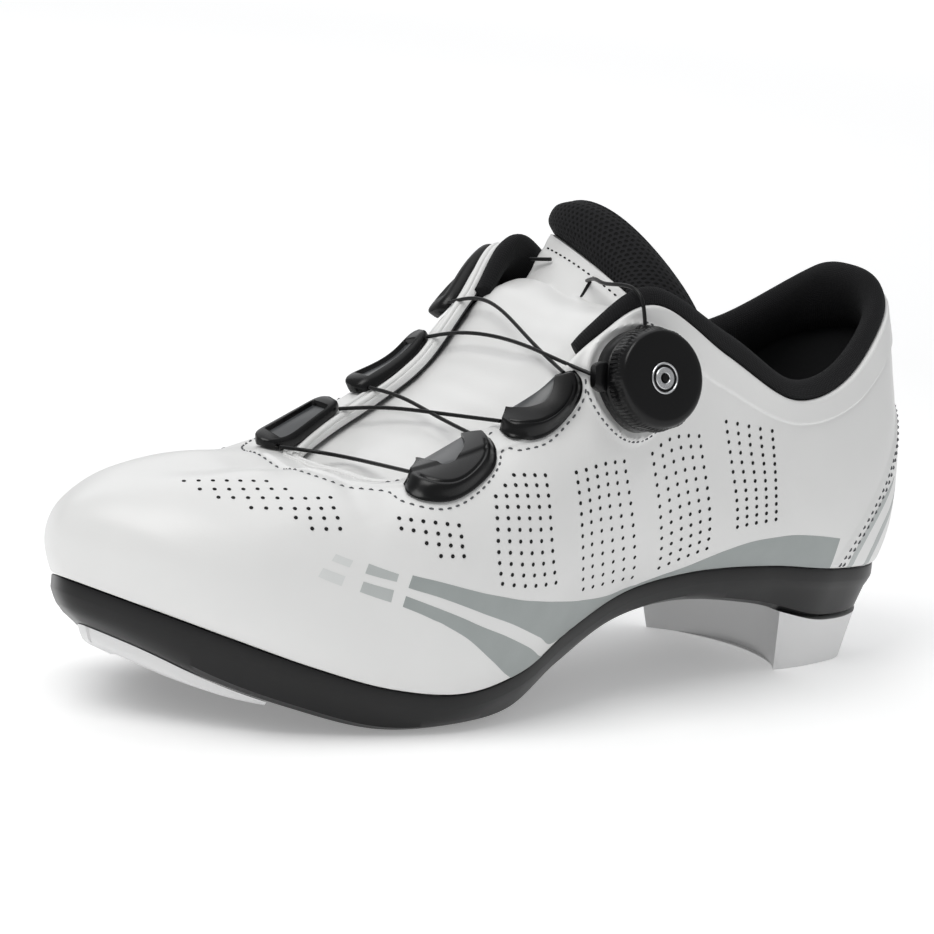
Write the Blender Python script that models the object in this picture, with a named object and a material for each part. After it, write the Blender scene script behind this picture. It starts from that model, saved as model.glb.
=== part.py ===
"""Left road cycling shoe: hollow upper on a stiff plate sole, closed by a dial and a thin lace.

Lengths are in metres. X runs from heel to toe, Y to the outer side of the foot and Z up.
The origin is on the floor, under the middle of the heel pad.
"""

import math

import bmesh
import bpy
import numpy as np

MM = 0.001
SOLE_LENGTH = 0.2634
BALL_WIDTH = 0.0842
COLLAR_HEIGHT = 0.099
HEEL_TO_ORIGIN = 0.030
WALL = 0.0020
SOLE_BAND = 0.0036
GAP = 0.0003
RING = 60
RISE_STEPS = 9

SIDE_COLUMNS = ("along", "feather", "base")
SIDE_TABLE = (
    (0.000, 0.273, 0.150),
    (0.057, 0.269, 0.135),
    (0.129, 0.279, 0.135),
    (0.228, 0.305, 0.192),
    (0.338, 0.306, 0.217),
    (0.425, 0.277, 0.186),
    (0.513, 0.208, 0.104),
    (0.596, 0.132, 0.022),
    (0.676, 0.101, 0.006),
    (0.756, 0.124, 0.012),
    (0.829, 0.178, 0.062),
    (0.902, 0.246, 0.130),
    (0.949, 0.291, 0.192),
    (1.000, 0.339, 0.250),
)

RIB_COLUMNS = ("along", "across", "swell", "rise", "upper_along", "upper_across",
               "upper_height", "edge_along", "edge_across", "edge_height")
RIB_TABLE = (
    (1.000, -0.047, 0.006, 0.150,  0.952, -0.012, 0.572, 0.728,  0.024, 0.574),
    (0.978,  0.106, 0.022, 0.152,  0.934,  0.135, 0.570, 0.728,  0.108, 0.576),
    (0.949,  0.219, 0.040, 0.155,  0.905,  0.245, 0.560, 0.728,  0.172, 0.576),
    (0.902,  0.335, 0.052, 0.160,  0.855,  0.370, 0.546, 0.725,  0.240, 0.576),
    (0.829,  0.442, 0.052, 0.162,  0.782,  0.470, 0.538, 0.707,  0.296, 0.592),
    (0.756,  0.513, 0.047, 0.168,  0.707,  0.525, 0.575, 0.671,  0.317, 0.640),
    (0.676,  0.547, 0.048, 0.175,  0.639,  0.554, 0.599, 0.616,  0.323, 0.708),
    (0.596,  0.518, 0.058, 0.188,  0.567,  0.530, 0.650, 0.568,  0.369, 0.800),
    (0.513,  0.437, 0.078, 0.205,  0.506,  0.500, 0.770, 0.516,  0.414, 0.942),
    (0.425,  0.376, 0.092, 0.221,  0.440,  0.468, 0.815, 0.445,  0.444, 1.027),
    (0.338,  0.362, 0.074, 0.208,  0.346,  0.420, 0.731, 0.336,  0.416, 0.883),
    (0.228,  0.374, 0.047, 0.170,  0.221,  0.402, 0.622, 0.217,  0.384, 0.745),
    (0.129,  0.369, 0.035, 0.158,  0.118,  0.372, 0.630, 0.118,  0.319, 0.799),
    (0.057,  0.305, 0.036, 0.161,  0.046,  0.296, 0.667, 0.046,  0.213, 0.929),
    (0.000,  0.000, 0.048, 0.162, -0.015,  0.000, 0.667, 0.019,  0.000, 1.000),
    (0.057, -0.293, 0.036, 0.161,  0.046, -0.284, 0.667, 0.046, -0.213, 0.939),
    (0.129, -0.349, 0.035, 0.158,  0.118, -0.367, 0.630, 0.118, -0.319, 0.819),
    (0.228, -0.337, 0.059, 0.170,  0.221, -0.402, 0.622, 0.217, -0.378, 0.773),
    (0.338, -0.278, 0.112, 0.208,  0.346, -0.402, 0.750, 0.328, -0.367, 0.897),
    (0.425, -0.254, 0.125, 0.238,  0.440, -0.361, 0.840, 0.433, -0.285, 1.078),
    (0.513, -0.290, 0.091, 0.222,  0.506, -0.352, 0.772, 0.503, -0.196, 0.958),
    (0.596, -0.372, 0.074, 0.205,  0.567, -0.361, 0.666, 0.561, -0.168, 0.804),
    (0.676, -0.453, 0.057, 0.183,  0.639, -0.380, 0.621, 0.616, -0.155, 0.719),
    (0.756, -0.487, 0.047, 0.162,  0.707, -0.389, 0.567, 0.671, -0.155, 0.645),
    (0.829, -0.468, 0.047, 0.162,  0.782, -0.395, 0.532, 0.707, -0.141, 0.592),
    (0.902, -0.394, 0.042, 0.158,  0.855, -0.340, 0.543, 0.725, -0.099, 0.576),
    (0.949, -0.296, 0.024, 0.153,  0.905, -0.258, 0.560, 0.728, -0.047, 0.574),
    (0.982, -0.177, 0.012, 0.150,  0.938, -0.150, 0.570, 0.728, -0.008, 0.574),
)


def hermite(knots, values, query):
    """Smooth curve through rows of values at uneven knots."""
    knots = np.asarray(knots, float)
    values = np.asarray(values, float)
    query = np.atleast_1d(np.asarray(query, float))
    slope = np.gradient(values, knots, axis=0)
    low = np.clip(np.searchsorted(knots, query) - 1, 0, len(knots) - 2)
    span = knots[low + 1] - knots[low]
    t = (query - knots[low]) / span
    if values.ndim > 1:
        span = span[:, None]
        t = t[:, None]
    return ((2 * t ** 3 - 3 * t ** 2 + 1) * values[low] + (t ** 3 - 2 * t ** 2 + t) * span * slope[low]
            + (3 * t ** 2 - 2 * t ** 3) * values[low + 1] + (t ** 3 - t ** 2) * span * slope[low + 1])


def side_height(x, column):
    """Height of the feather line or of the base over a place along the shoe."""
    table = np.array(SIDE_TABLE)
    share = np.clip((np.asarray(x, float) + HEEL_TO_ORIGIN) / SOLE_LENGTH, 0.0, 1.0)
    shape = np.shape(share)
    height = hermite(table[:, 0], table[:, SIDE_COLUMNS.index(column)], np.ravel(share))
    return height.reshape(shape) * COLLAR_HEIGHT


def rib_points():
    """Four guiding points of every rib: feather, lower bulge, upper point, top edge."""
    table = np.array(RIB_TABLE)
    column = {name: table[:, i] for i, name in enumerate(RIB_COLUMNS)}
    x = column["along"] * SOLE_LENGTH - HEEL_TO_ORIGIN
    y = column["across"] * BALL_WIDTH
    feather = np.stack([x, y, side_height(x, "feather")], 1)
    chord = np.roll(feather, -1, 0) - np.roll(feather, 1, 0)
    outward = np.stack([chord[:, 1], -chord[:, 0], 0.0 * x], 1)
    outward /= np.linalg.norm(outward, axis=1)[:, None]
    bulge = feather + outward * column["swell"][:, None] * BALL_WIDTH
    bulge[:, 2] += column["rise"] * COLLAR_HEIGHT
    points = [feather, bulge]
    for name in ("upper", "edge"):
        points.append(np.stack([column[name + "_along"] * SOLE_LENGTH - HEEL_TO_ORIGIN,
                                column[name + "_across"] * BALL_WIDTH,
                                column[name + "_height"] * COLLAR_HEIGHT], 1))
    return np.stack(points, 1)


RIBS = rib_points()
RIB_PLACES = np.r_[0.0, np.cumsum(np.linalg.norm(np.roll(RIBS[:, 0], -1, 0) - RIBS[:, 0], axis=1))]
GIRTH = RIB_PLACES[-1]


def rib_at(p):
    """Guiding points of the rib at share p of the way round, toe to outer side to heel to inner side."""
    knots = np.r_[RIB_PLACES[:-1][-3:] - GIRTH, RIB_PLACES, RIB_PLACES[1:4] + GIRTH]
    flat = RIBS.reshape(len(RIBS), 12)
    rows = np.vstack([flat[-3:], flat, flat[:1], flat[1:4]])
    p = np.mod(np.ravel(p), 1.0) * GIRTH
    return hermite(knots, rows, p).reshape(-1, 4, 3)


def skin(p, t, lift=0.0):
    """Point of the upper's outer surface: p goes round, t climbs from the feather line to the edge."""
    p, t = np.broadcast_arrays(np.asarray(p, float), np.asarray(t, float))
    shape = p.shape
    p = np.ravel(p)
    t = np.ravel(t)
    if np.any(lift):
        lift = np.ravel(np.broadcast_to(lift, shape))
        centre = skin(p, t)
        return (centre + skin_normal(p, t) * lift[:, None]).reshape(shape + (3,))
    guide = rib_at(p)
    chord = np.linalg.norm(np.diff(guide, axis=1), axis=2) ** 0.75
    knots = np.concatenate([np.zeros((len(p), 1)), np.cumsum(chord, 1)], 1)
    knots /= knots[:, -1:]
    result = np.zeros((len(p), 3))
    for i in range(4):
        weight = np.ones(len(p))
        for j in range(4):
            if j != i:
                weight = weight * (t - knots[:, j]) / (knots[:, i] - knots[:, j])
        result += weight[:, None] * guide[:, i]
    return result.reshape(shape + (3,))


def skin_normal(p, t):
    """Outward direction of the upper's surface."""
    step = 0.002
    round_way = skin(p + step, t) - skin(p - step, t)
    up_way = skin(p, t + step) - skin(p, t - step)
    normal = np.cross(round_way, up_way)
    length = np.linalg.norm(normal, axis=-1, keepdims=True)
    return normal / np.maximum(length, 1e-12)


# Fittings on the upper: p and t of the middle, turn in degrees, and size in millimetres.
GUIDE_COLUMNS = ("name", "p", "t", "turn", "length", "width", "height", "hollow")
GUIDE_TABLE = (
    ("guide_outer_front", 0.1425, 0.866, 2.0, 27.0, 10.8, 3.2, 4.2),
    ("guide_outer_rear", 0.2055, 0.914, 2.0, 25.0, 10.8, 3.2, 4.2),
    ("guide_inner_front", 0.8790, 0.936, 0.0, 27.0, 6.4, 2.8, 0.4),
    ("guide_inner_middle", 0.8030, 0.935, 0.0, 27.0, 6.4, 2.8, 0.4),
    ("guide_inner_rear", 0.7320, 0.905, 0.0, 27.0, 6.4, 2.8, 0.4),
)
DIAL_P = 0.2732
DIAL_T = 0.772
DIAL_FACING = (0.147, 0.950, 0.259)
DIAL_RADIUS = 0.0122
DIAL_BASE_RADIUS = 0.0128
DIAL_HEIGHT = 0.0063
DIAL_BASE_HEIGHT = 0.0030
DIAL_CAP_RADIUS = 0.0036
KNURLS = 12
DIAL_PORT_TURN = 34.0
LACE_DIAMETER = 0.0013
INSOLE_THICKNESS = 0.0030
TONGUE_THICKNESS = 0.0030
TONGUE_COLUMNS = 13
COLLAR_PAD_FRONT_OUTER = 0.243
COLLAR_PAD_FRONT_INNER = 0.748
CLEAT_FRONT = (0.1620, 0.0030)
CLEAT_OUTER = (0.1325, 0.0215)
CLEAT_INNER = (0.1325, -0.0155)
SLOT_ACROSS = (0.0100, -0.0040)
SLOT_FROM = 0.1320
SLOT_TO = 0.1540

MATERIALS = {
    "white_leather": ((0.86, 0.86, 0.85), 0.38, 0.0),
    "black_nylon": ((0.020, 0.020, 0.022), 0.42, 0.0),
    "white_rubber": ((0.78, 0.78, 0.78), 0.55, 0.0),
    "black_mesh": ((0.015, 0.015, 0.016), 0.85, 0.0),
    "black_plastic": ((0.012, 0.012, 0.013), 0.28, 0.0),
    "lining_grey": ((0.06, 0.06, 0.065), 0.9, 0.0),
    "dark_steel": ((0.10, 0.10, 0.11), 0.3, 1.0),
    "bright_cap": ((0.55, 0.56, 0.58), 0.25, 1.0),
    "dark_cable": ((0.03, 0.03, 0.035), 0.35, 0.6),
}


def clear_scene():
    """Empty the file."""
    for obj in list(bpy.data.objects):
        bpy.data.objects.remove(obj, do_unlink=True)
    for mesh in list(bpy.data.meshes):
        bpy.data.meshes.remove(mesh)
    for coll in list(bpy.data.collections):
        bpy.data.collections.remove(coll)


def new_collection(name):
    """A collection linked to the scene."""
    coll = bpy.data.collections.new(name)
    bpy.context.scene.collection.children.link(coll)
    return coll


def material(name):
    """Principled material by name."""
    found = bpy.data.materials.get(name)
    if found:
        return found
    colour, rough, metal = MATERIALS[name]
    mat = bpy.data.materials.new(name)
    mat.use_nodes = True
    node = mat.node_tree.nodes["Principled BSDF"]
    node.inputs["Base Color"].default_value = (colour[0], colour[1], colour[2], 1.0)
    node.inputs["Roughness"].default_value = rough
    node.inputs["Metallic"].default_value = metal
    mat.diffuse_color = (colour[0], colour[1], colour[2], 1.0)
    return mat


def solid(name, verts, faces, coll, mat_name=None):
    """Closed body from points and faces, with its faces pointing out."""
    mesh = bpy.data.meshes.new(name)
    mesh.from_pydata([tuple(v) for v in np.asarray(verts, float)], [], [tuple(int(i) for i in f) for f in faces])
    bm = bmesh.new()
    bm.from_mesh(mesh)
    bmesh.ops.remove_doubles(bm, verts=bm.verts, dist=1e-6)
    bmesh.ops.dissolve_degenerate(bm, edges=bm.edges, dist=1e-6)
    bmesh.ops.recalc_face_normals(bm, faces=bm.faces)
    if bm.calc_volume(signed=True) < 0.0:
        bmesh.ops.reverse_faces(bm, faces=bm.faces)
    bm.to_mesh(mesh)
    bm.free()
    obj = bpy.data.objects.new(name, mesh)
    coll.objects.link(obj)
    if mat_name:
        mesh.materials.append(material(mat_name))
    return obj


def grid_faces(rows, cols, start, closed):
    """Quads of a grid of points stored row by row, closed round the rows or not."""
    faces = []
    for i in range(rows if closed else rows - 1):
        j = (i + 1) % rows
        for c in range(cols - 1):
            faces.append((start + i * cols + c, start + j * cols + c, start + j * cols + c + 1,
                          start + i * cols + c + 1))
    return faces


def shell(outer, inner, closed):
    """Points and faces of a wall between two grids of the same size."""
    rows, cols = outer.shape[:2]
    count = rows * cols
    faces = grid_faces(rows, cols, 0, closed)
    faces += [tuple(reversed(f)) for f in grid_faces(rows, cols, count, closed)]
    for i in range(rows if closed else rows - 1):
        j = (i + 1) % rows
        for c in (0, cols - 1):
            quad = (i * cols + c, j * cols + c, count + j * cols + c, count + i * cols + c)
            faces.append(tuple(reversed(quad)) if c == 0 else quad)
    if not closed:
        for i in (0, rows - 1):
            for c in range(cols - 1):
                quad = (i * cols + c, i * cols + c + 1, count + i * cols + c + 1, count + i * cols + c)
                faces.append(quad if i == 0 else tuple(reversed(quad)))
    return np.vstack([outer.reshape(-1, 3), inner.reshape(-1, 3)]), faces


def loft(sections):
    """Points and faces of a body through closed sections, shut at both ends."""
    sections = np.asarray(sections, float)
    rows, cols = sections.shape[:2]
    faces = []
    for i in range(rows - 1):
        for c in range(cols):
            d = (c + 1) % cols
            faces.append((i * cols + c, i * cols + d, (i + 1) * cols + d, (i + 1) * cols + c))
    faces.append(tuple(range(cols)))
    faces.append(tuple((rows - 1) * cols + c for c in reversed(range(cols))))
    return sections.reshape(-1, 3), faces


def slab(rings, columns, top_height, base_height):
    """Body of stacked outline rings, with a ladder of cross rows closing its top and its base."""
    count = len(rings[0])
    verts = np.vstack(rings)
    faces = grid_faces(len(rings), count, 0, False)
    for i in range(len(rings) - 1):
        faces.append((i * count + count - 1, (i + 1) * count + count - 1, (i + 1) * count, i * count))
    extra = []
    for level, height in ((0, top_height), (len(rings) - 1, base_height)):
        ring = rings[level]
        half = count // 2
        place = {}
        for j in range(1, half):
            a = ring[j]
            b = ring[count - j]
            for c in range(columns + 1):
                if c == 0:
                    place[j, c] = level * count + j
                elif c == columns:
                    place[j, c] = level * count + count - j
                else:
                    point = a + (b - a) * (c / columns)
                    point = np.array([point[0], point[1], height(point[0], point[1], point[2])])
                    place[j, c] = len(verts) + len(extra)
                    extra.append(point)
        for j in range(1, half - 1):
            for c in range(columns):
                faces.append((place[j, c], place[j, c + 1], place[j + 1, c + 1], place[j + 1, c]))
        for c in range(columns):
            faces.append((level * count, place[1, c], place[1, c + 1]))
            faces.append((level * count + half, place[half - 1, c + 1], place[half - 1, c]))
    return np.vstack([verts, np.array(extra)]), faces


def combine(bodies):
    """One list of points and faces from several separate bodies."""
    verts = []
    faces = []
    start = 0
    for points, quads in bodies:
        verts.append(np.asarray(points, float))
        faces += [tuple(i + start for i in f) for f in quads]
        start += len(points)
    return np.vstack(verts), faces


def prism(outline, low, top):
    """Upright body over a plan outline, from a level up to a height over each point."""
    outline = np.asarray(outline, float)
    count = len(outline)
    centre = outline.mean(0)
    lower = np.column_stack([outline, np.full(count, low)])
    upper = np.column_stack([outline, [top(x, y) for x, y in outline]])
    verts = np.vstack([lower, upper, [[centre[0], centre[1], low]], [[centre[0], centre[1], top(*centre)]]])
    faces = []
    for i in range(count):
        j = (i + 1) % count
        faces.append((i, j, count + j, count + i))
        faces.append((j, i, 2 * count))
        faces.append((count + i, count + j, 2 * count + 1))
    return verts, faces


def circle(x, y, radius, count=20):
    """Plan circle."""
    turn = np.arange(count) * 2.0 * math.pi / count
    return np.column_stack([x + radius * np.cos(turn), y + radius * np.sin(turn)])


def stadium(x0, x1, y, radius, count=16):
    """Plan slot along the shoe."""
    turn = np.linspace(-math.pi / 2, math.pi / 2, count // 2 + 1)
    front = np.column_stack([x1 + radius * np.cos(turn), y + radius * np.sin(turn)])
    rear = np.column_stack([x0 - radius * np.cos(turn), y - radius * np.sin(turn)])
    return np.vstack([front, rear])


def boolean(target, tool, operation):
    """Exact boolean, applied."""
    mod = target.modifiers.new(operation.lower(), "BOOLEAN")
    mod.operation = operation
    mod.solver = "EXACT"
    mod.object = tool
    graph = bpy.context.evaluated_depsgraph_get()
    mesh = bpy.data.meshes.new_from_object(target.evaluated_get(graph))
    target.modifiers.clear()
    target.data = mesh
    target.data.name = target.name
    bm = bmesh.new()
    bm.from_mesh(mesh)
    bmesh.ops.remove_doubles(bm, verts=bm.verts, dist=2e-6)
    bmesh.ops.dissolve_degenerate(bm, edges=bm.edges, dist=2e-6)
    bmesh.ops.triangulate(bm, faces=[f for f in bm.faces if len(f.verts) > 4])
    bm.to_mesh(mesh)
    bm.free()


def cutter(name, body, coll):
    """Hidden shape used to cut another."""
    obj = solid(name, body[0], body[1], coll)
    obj.hide_render = True
    obj.display_type = "WIRE"
    return obj


def plan_outline(inset, count=RING):
    """Feather line in plan, set in by a distance, from the toe round the outer side."""
    p = np.arange(count) / count
    line = skin(p, 0.0)
    chord = np.roll(line, -1, 0) - np.roll(line, 1, 0)
    outward = np.stack([chord[:, 1], -chord[:, 0]], 1)
    outward /= np.linalg.norm(outward, axis=1)[:, None]
    return line[:, :2] - outward * inset


def ring_at(inset, height, count=RING):
    """Outline ring with its height from a function of the place along the shoe."""
    plan = plan_outline(inset, count)
    return np.column_stack([plan, height(plan[:, 0])])


def base_at(x):
    """Underside of the plate."""
    return side_height(x, "base")


def feather_at(x):
    """Top of the plate."""
    return side_height(x, "feather")


def span_at(x, inset):
    """Outer and inner side of the inset outline at a place along the shoe."""
    plan = plan_outline(inset, 240)
    toe = int(np.argmax(plan[:, 0]))
    heel = int(np.argmin(plan[:, 0]))
    plan = np.roll(plan, -toe, 0)
    heel = (heel - toe) % 240
    outer = plan[:heel + 1][::-1]
    inner = np.vstack([plan[heel:], plan[:1]])
    return np.interp(x, outer[:, 0], outer[:, 1]), np.interp(x, inner[:, 0], inner[:, 1])


def make_outsole(coll, cuts):
    """Stiff plate: rim, bevel, arch, cleat pad with holes and slots, and vent grilles."""
    band = SOLE_BAND
    rings = [
        ring_at(0.0, feather_at),
        ring_at(0.0, lambda x: feather_at(x) - band),
        ring_at(0.0016, lambda x: np.maximum(base_at(x) + 0.0022, feather_at(x) - band - 0.0030)),
        ring_at(0.0052, lambda x: base_at(x) + 0.0006),
        ring_at(0.0066, base_at),
    ]
    points, faces = slab(rings, 6, lambda x, y, z: float(feather_at(x)), lambda x, y, z: float(base_at(x)))
    sole = solid("outsole", points, faces, coll, "black_nylon")
    lobes = np.linspace(0.0, 2.0 * math.pi, 36, endpoint=False)
    arms = [math.atan2(y - 0.003, x - 0.1425) for x, y in (CLEAT_FRONT, CLEAT_OUTER, CLEAT_INNER)]
    reach = [math.hypot(x - 0.1425, y - 0.003) + 0.0085 for x, y in (CLEAT_FRONT, CLEAT_OUTER, CLEAT_INNER)]
    radius = np.full(36, 0.0150)
    for arm, far in zip(arms, reach):
        away = np.abs((lobes - arm + math.pi) % (2.0 * math.pi) - math.pi)
        radius = np.maximum(radius, 0.0150 + (far - 0.0150) * np.exp(-(away / 0.42) ** 2))
    pad = np.column_stack([0.1425 + radius * np.cos(lobes), 0.003 + radius * np.sin(lobes)])
    boolean(sole, cutter("cleat_pad_form", prism(pad, 0.0, lambda x, y: 0.0040), cuts), "UNION")
    first = [prism(circle(x, y, 0.0027, 16), -0.002, lambda x, y: 0.0062)
             for x, y in (CLEAT_FRONT, CLEAT_OUTER, CLEAT_INNER)]
    for y in SLOT_ACROSS:
        first.append(prism(stadium(SLOT_FROM, SLOT_TO, y, 0.0046), -0.002, lambda x, y: 0.0034))
    moon = []
    for turn in np.linspace(-1.0, 1.0, 13):
        moon.append((0.1935 + 0.0215 * math.sqrt(max(0.0, 1.0 - abs(turn) ** 2.4)), -0.0032 - 0.0215 * turn))
    first.append(prism(moon, -0.004, lambda x, y: float(base_at(x)) + 0.0020))
    mid = [(0.0780, 0.0120), (0.1060, 0.0215), (0.1088, 0.0150), (0.1095, 0.0095), (0.1088, 0.0040),
           (0.1060, -0.0022), (0.0780, 0.0022)]
    first.append(prism(mid, -0.004, lambda x, y: float(base_at(x)) + 0.0026))
    for x in (0.0350, 0.0605):
        first.append(prism([(x - 0.006, 0.0040), (x + 0.006, 0.0040), (x + 0.006, 0.0120), (x - 0.006, 0.0120)],
                           -0.004, lambda x, y: float(base_at(x)) + 0.0014))
    boolean(sole, cutter("sole_recesses", combine(first), cuts), "DIFFERENCE")
    second = []
    for i in range(4):
        for j in range(7):
            x0 = 0.1955 + i * 0.0046
            y0 = -0.0032 + (j - 3) * 0.0056
            side = abs(y0 + 0.0032) + 0.0026
            if side > 0.0215 or x0 + 0.0040 > 0.1925 + 0.0215 * math.sqrt(1.0 - (side / 0.0215) ** 2.4):
                continue
            box = [(x0, y0 - 0.0021), (x0 + 0.0034, y0 - 0.0021), (x0 + 0.0034, y0 + 0.0021), (x0, y0 + 0.0021)]
            second.append(prism(box, 0.0, lambda x, y: float(base_at(x)) + 0.0044))
    window = [(0.0830, 0.0096), (0.0965, 0.0130), (0.0985, 0.0090), (0.0965, 0.0048), (0.0830, 0.0050)]
    second.append(prism(window, 0.0, lambda x, y: float(base_at(x)) + 0.0050))
    for x in (0.0350, 0.0605):
        second.append(prism([(x - 0.0045, 0.0058), (x + 0.0045, 0.0058), (x + 0.0045, 0.0102),
                             (x - 0.0045, 0.0102)], 0.0, lambda x, y: float(base_at(x)) + 0.0038))
    boolean(sole, cutter("sole_windows", combine(second), cuts), "DIFFERENCE")
    return sole


def make_heel_pad(coll):
    """Block under the heel, flat where it meets the floor and hollowed at its front edge."""
    stations = np.array([-0.0262, -0.0250, -0.0225, -0.018, -0.011, -0.003, 0.006, 0.015, 0.0185, 0.0212])
    across = np.linspace(1.0, -1.0, 9)
    sections = []
    for i, x in enumerate(stations):
        outer, inner = span_at(x, 0.0034)
        low_outer, low_inner = span_at(x, 0.0062)
        low_outer = max(low_outer, 0.001)
        low_inner = min(low_inner, -0.001)
        hollow = 0.009 * max(0.0, (x - 0.0) / 0.0212) ** 1.5
        top_y = (outer + inner) / 2 + across * (outer - inner) / 2
        low_y = (low_outer + low_inner) / 2 + across * (low_outer - low_inner) / 2
        shift = -hollow * (1.0 - across ** 2)
        top = [(x + s, y, float(base_at(x + s)) - GAP) for s, y in zip(shift, top_y)]
        back = 0.0035 * max(0.0, 1.0 - (x + 0.0262) / 0.012)
        low = [(x + s * 1.25 - (0.0030 if i >= 8 else 0.0), y, back) for s, y in zip(shift, low_y)]
        sections.append(top + low[::-1])
    points, faces = loft(sections)
    return solid("heel_pad", points, faces, coll, "white_rubber")


def make_toe_bumper(coll):
    """Crescent under the toe, widest in the middle and pointed at both ends."""
    along = np.linspace(-1.0, 1.0, 27)
    centre = 0.004
    p = centre + along * 0.088
    rim = skin(p, 0.0)
    chord = skin(p + 0.003, 0.0) - skin(p - 0.003, 0.0)
    outward = np.stack([chord[:, 1], -chord[:, 0]], 1)
    outward /= np.linalg.norm(outward, axis=1)[:, None]
    width = 0.0014 + 0.0088 * (1.0 - np.abs(along) ** 2.2)
    sections = []
    for i in range(len(p)):
        notch = 0.0008 if i == 13 else 0.0
        outer = rim[i, :2] - outward[i] * (0.0072 + notch)
        edge = rim[i, :2] - outward[i] * (0.0086 + notch)
        inner = rim[i, :2] - outward[i] * (0.0072 + 0.0014 + width[i])
        brow = rim[i, :2] - outward[i] * (0.0086 + width[i] * 0.86)
        thick = 0.0010 + 0.0022 * (1.0 - abs(along[i]) ** 3)
        sections.append([
            (outer[0], outer[1], float(base_at(outer[0])) - GAP),
            (edge[0], edge[1], float(base_at(edge[0])) - GAP - thick),
            (brow[0], brow[1], float(base_at(brow[0])) - GAP - thick),
            (inner[0], inner[1], float(base_at(inner[0])) - GAP),
        ])
    points, faces = loft(sections)
    return solid("toe_bumper", points, faces, coll, "white_rubber")


def make_bolt(name, y, coll, cuts):
    """Dished cap screw that holds the cleat nut plate, at the rear end of its slot."""
    count = 14
    x = SLOT_FROM
    rings = []
    for radius, z in ((0.0040, 0.0031), (0.0041, 0.0016), (0.0037, 0.0009), (0.0022, 0.0013)):
        plan = circle(x, y, radius, count)
        rings.append(np.column_stack([plan, np.full(count, z)]))
    points, faces = slab(rings, 4, lambda x, y, z: 0.0031, lambda x, y, z: 0.0013)
    bolt = solid(name, points, faces, coll, "dark_steel")
    socket = prism(circle(x, y, 0.0015, 6), 0.0, lambda x, y: 0.0024)
    boolean(bolt, cutter(name + "_socket", socket, cuts), "DIFFERENCE")
    return bolt


def make_insole(coll):
    """Removable inner sole lying on the plate."""
    rings = [
        ring_at(0.0028, lambda x: feather_at(x) + GAP + INSOLE_THICKNESS, 40),
        ring_at(0.0026, lambda x: feather_at(x) + GAP, 40),
    ]
    points, faces = slab(rings, 3, lambda x, y, z: float(feather_at(x)) + GAP + INSOLE_THICKNESS,
                         lambda x, y, z: float(feather_at(x)) + GAP)
    return solid("insole", points, faces, coll, "lining_grey")


def step_rows(count):
    """Shares of the climb for the rows of the upper, with a pair of rows at the raised edge band."""
    rows = list(np.linspace(0.0, 0.80, count)) + [0.865, 0.875, 0.94, 1.0]
    return np.array(rows)


def make_upper(coll):
    """Hollow upper: one wall from the feather line to the throat and collar edge."""
    rows = step_rows(RISE_STEPS)
    p = np.arange(RING) / RING
    place, climb = np.meshgrid(p, rows, indexing="ij")
    outer = skin(place, climb)
    normal = skin_normal(place.ravel(), climb.ravel()).reshape(outer.shape)
    inner = outer - normal * WALL
    raised = np.where(climb > 0.870, 0.0006, 0.0)
    heel = (place > 0.435) & (place < 0.575) & (climb < 0.62)
    raised = raised + np.where(heel, 0.0005, 0.0)
    outer = outer + normal * raised[..., None]
    outer[:, 0, 2] += GAP
    inner[:, 0, 2] = np.maximum(outer[:, 0, 2], feather_at(inner[:, 0, 0]) + GAP + 0.0001)
    points, faces = shell(outer, inner, True)
    return solid("upper", points, faces, coll, "white_leather")


def throat_row(x, depth, crown, lap=0.80, count=TONGUE_COLUMNS):
    """Curve across the throat at a place along the shoe, laid under both edges."""
    sides = []
    for low, high in ((0.02, 0.30), (0.70, 0.98)):
        p = np.linspace(low, high, 400)
        edge = skin(p, 1.0)
        mid = np.argmin(np.abs(edge[:, 0] - x))
        sides.append(p[mid])
    t = np.array([lap, 0.5 + lap / 2.0, 1.0])
    outer = skin(np.full(3, sides[0]), t) - skin_normal(np.full(3, sides[0]), t) * depth
    inner = skin(np.full(3, sides[1]), t) - skin_normal(np.full(3, sides[1]), t) * depth
    middle = (outer[2] + inner[2]) / 2.0
    middle[2] += crown
    line = np.vstack([outer, middle[None], inner[::-1]])
    knots = np.r_[0.0, np.cumsum(np.linalg.norm(np.diff(line, axis=0), axis=1))]
    return hermite(knots, line, np.linspace(0.0, knots[-1], count))


TONGUE_TOP_COLUMNS = ("along", "along_tilt", "along_bend", "height", "tilt", "bend", "half_width")
TONGUE_TOP_TABLE = (
    (0.4404, 0.0030, -0.0072, 1.0020, -0.0303, -0.0404, 0.2375),
    (0.4282, 0.0076, -0.0072, 1.0424, -0.0424, -0.0263, 0.2423),
    (0.4176, 0.0121, -0.0072, 1.0788, -0.0535, -0.0162, 0.2447),
)
TONGUE_PAD_TABLE = (
    (0.4161, 0.0121, -0.0072, 1.0859, -0.0535, -0.0162, 0.2447),
    (0.4123, 0.0015, -0.0114, 1.1162, -0.0667, -0.0404, 0.2447),
    (0.4055, -0.0091, -0.0159, 1.1495, -0.0798, -0.0687, 0.2423),
    (0.3971, -0.0197, -0.0205, 1.1798, -0.0919, -0.0990, 0.2375),
    (0.3880, -0.0296, -0.0243, 1.2000, -0.1010, -0.1253, 0.2304),
)
TONGUE_CENTRE = 0.0416
THROAT_STATIONS = (0.6967, 0.6796, 0.6530, 0.6188, 0.5847, 0.5505, 0.5163, 0.4822, 0.4556)


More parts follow.
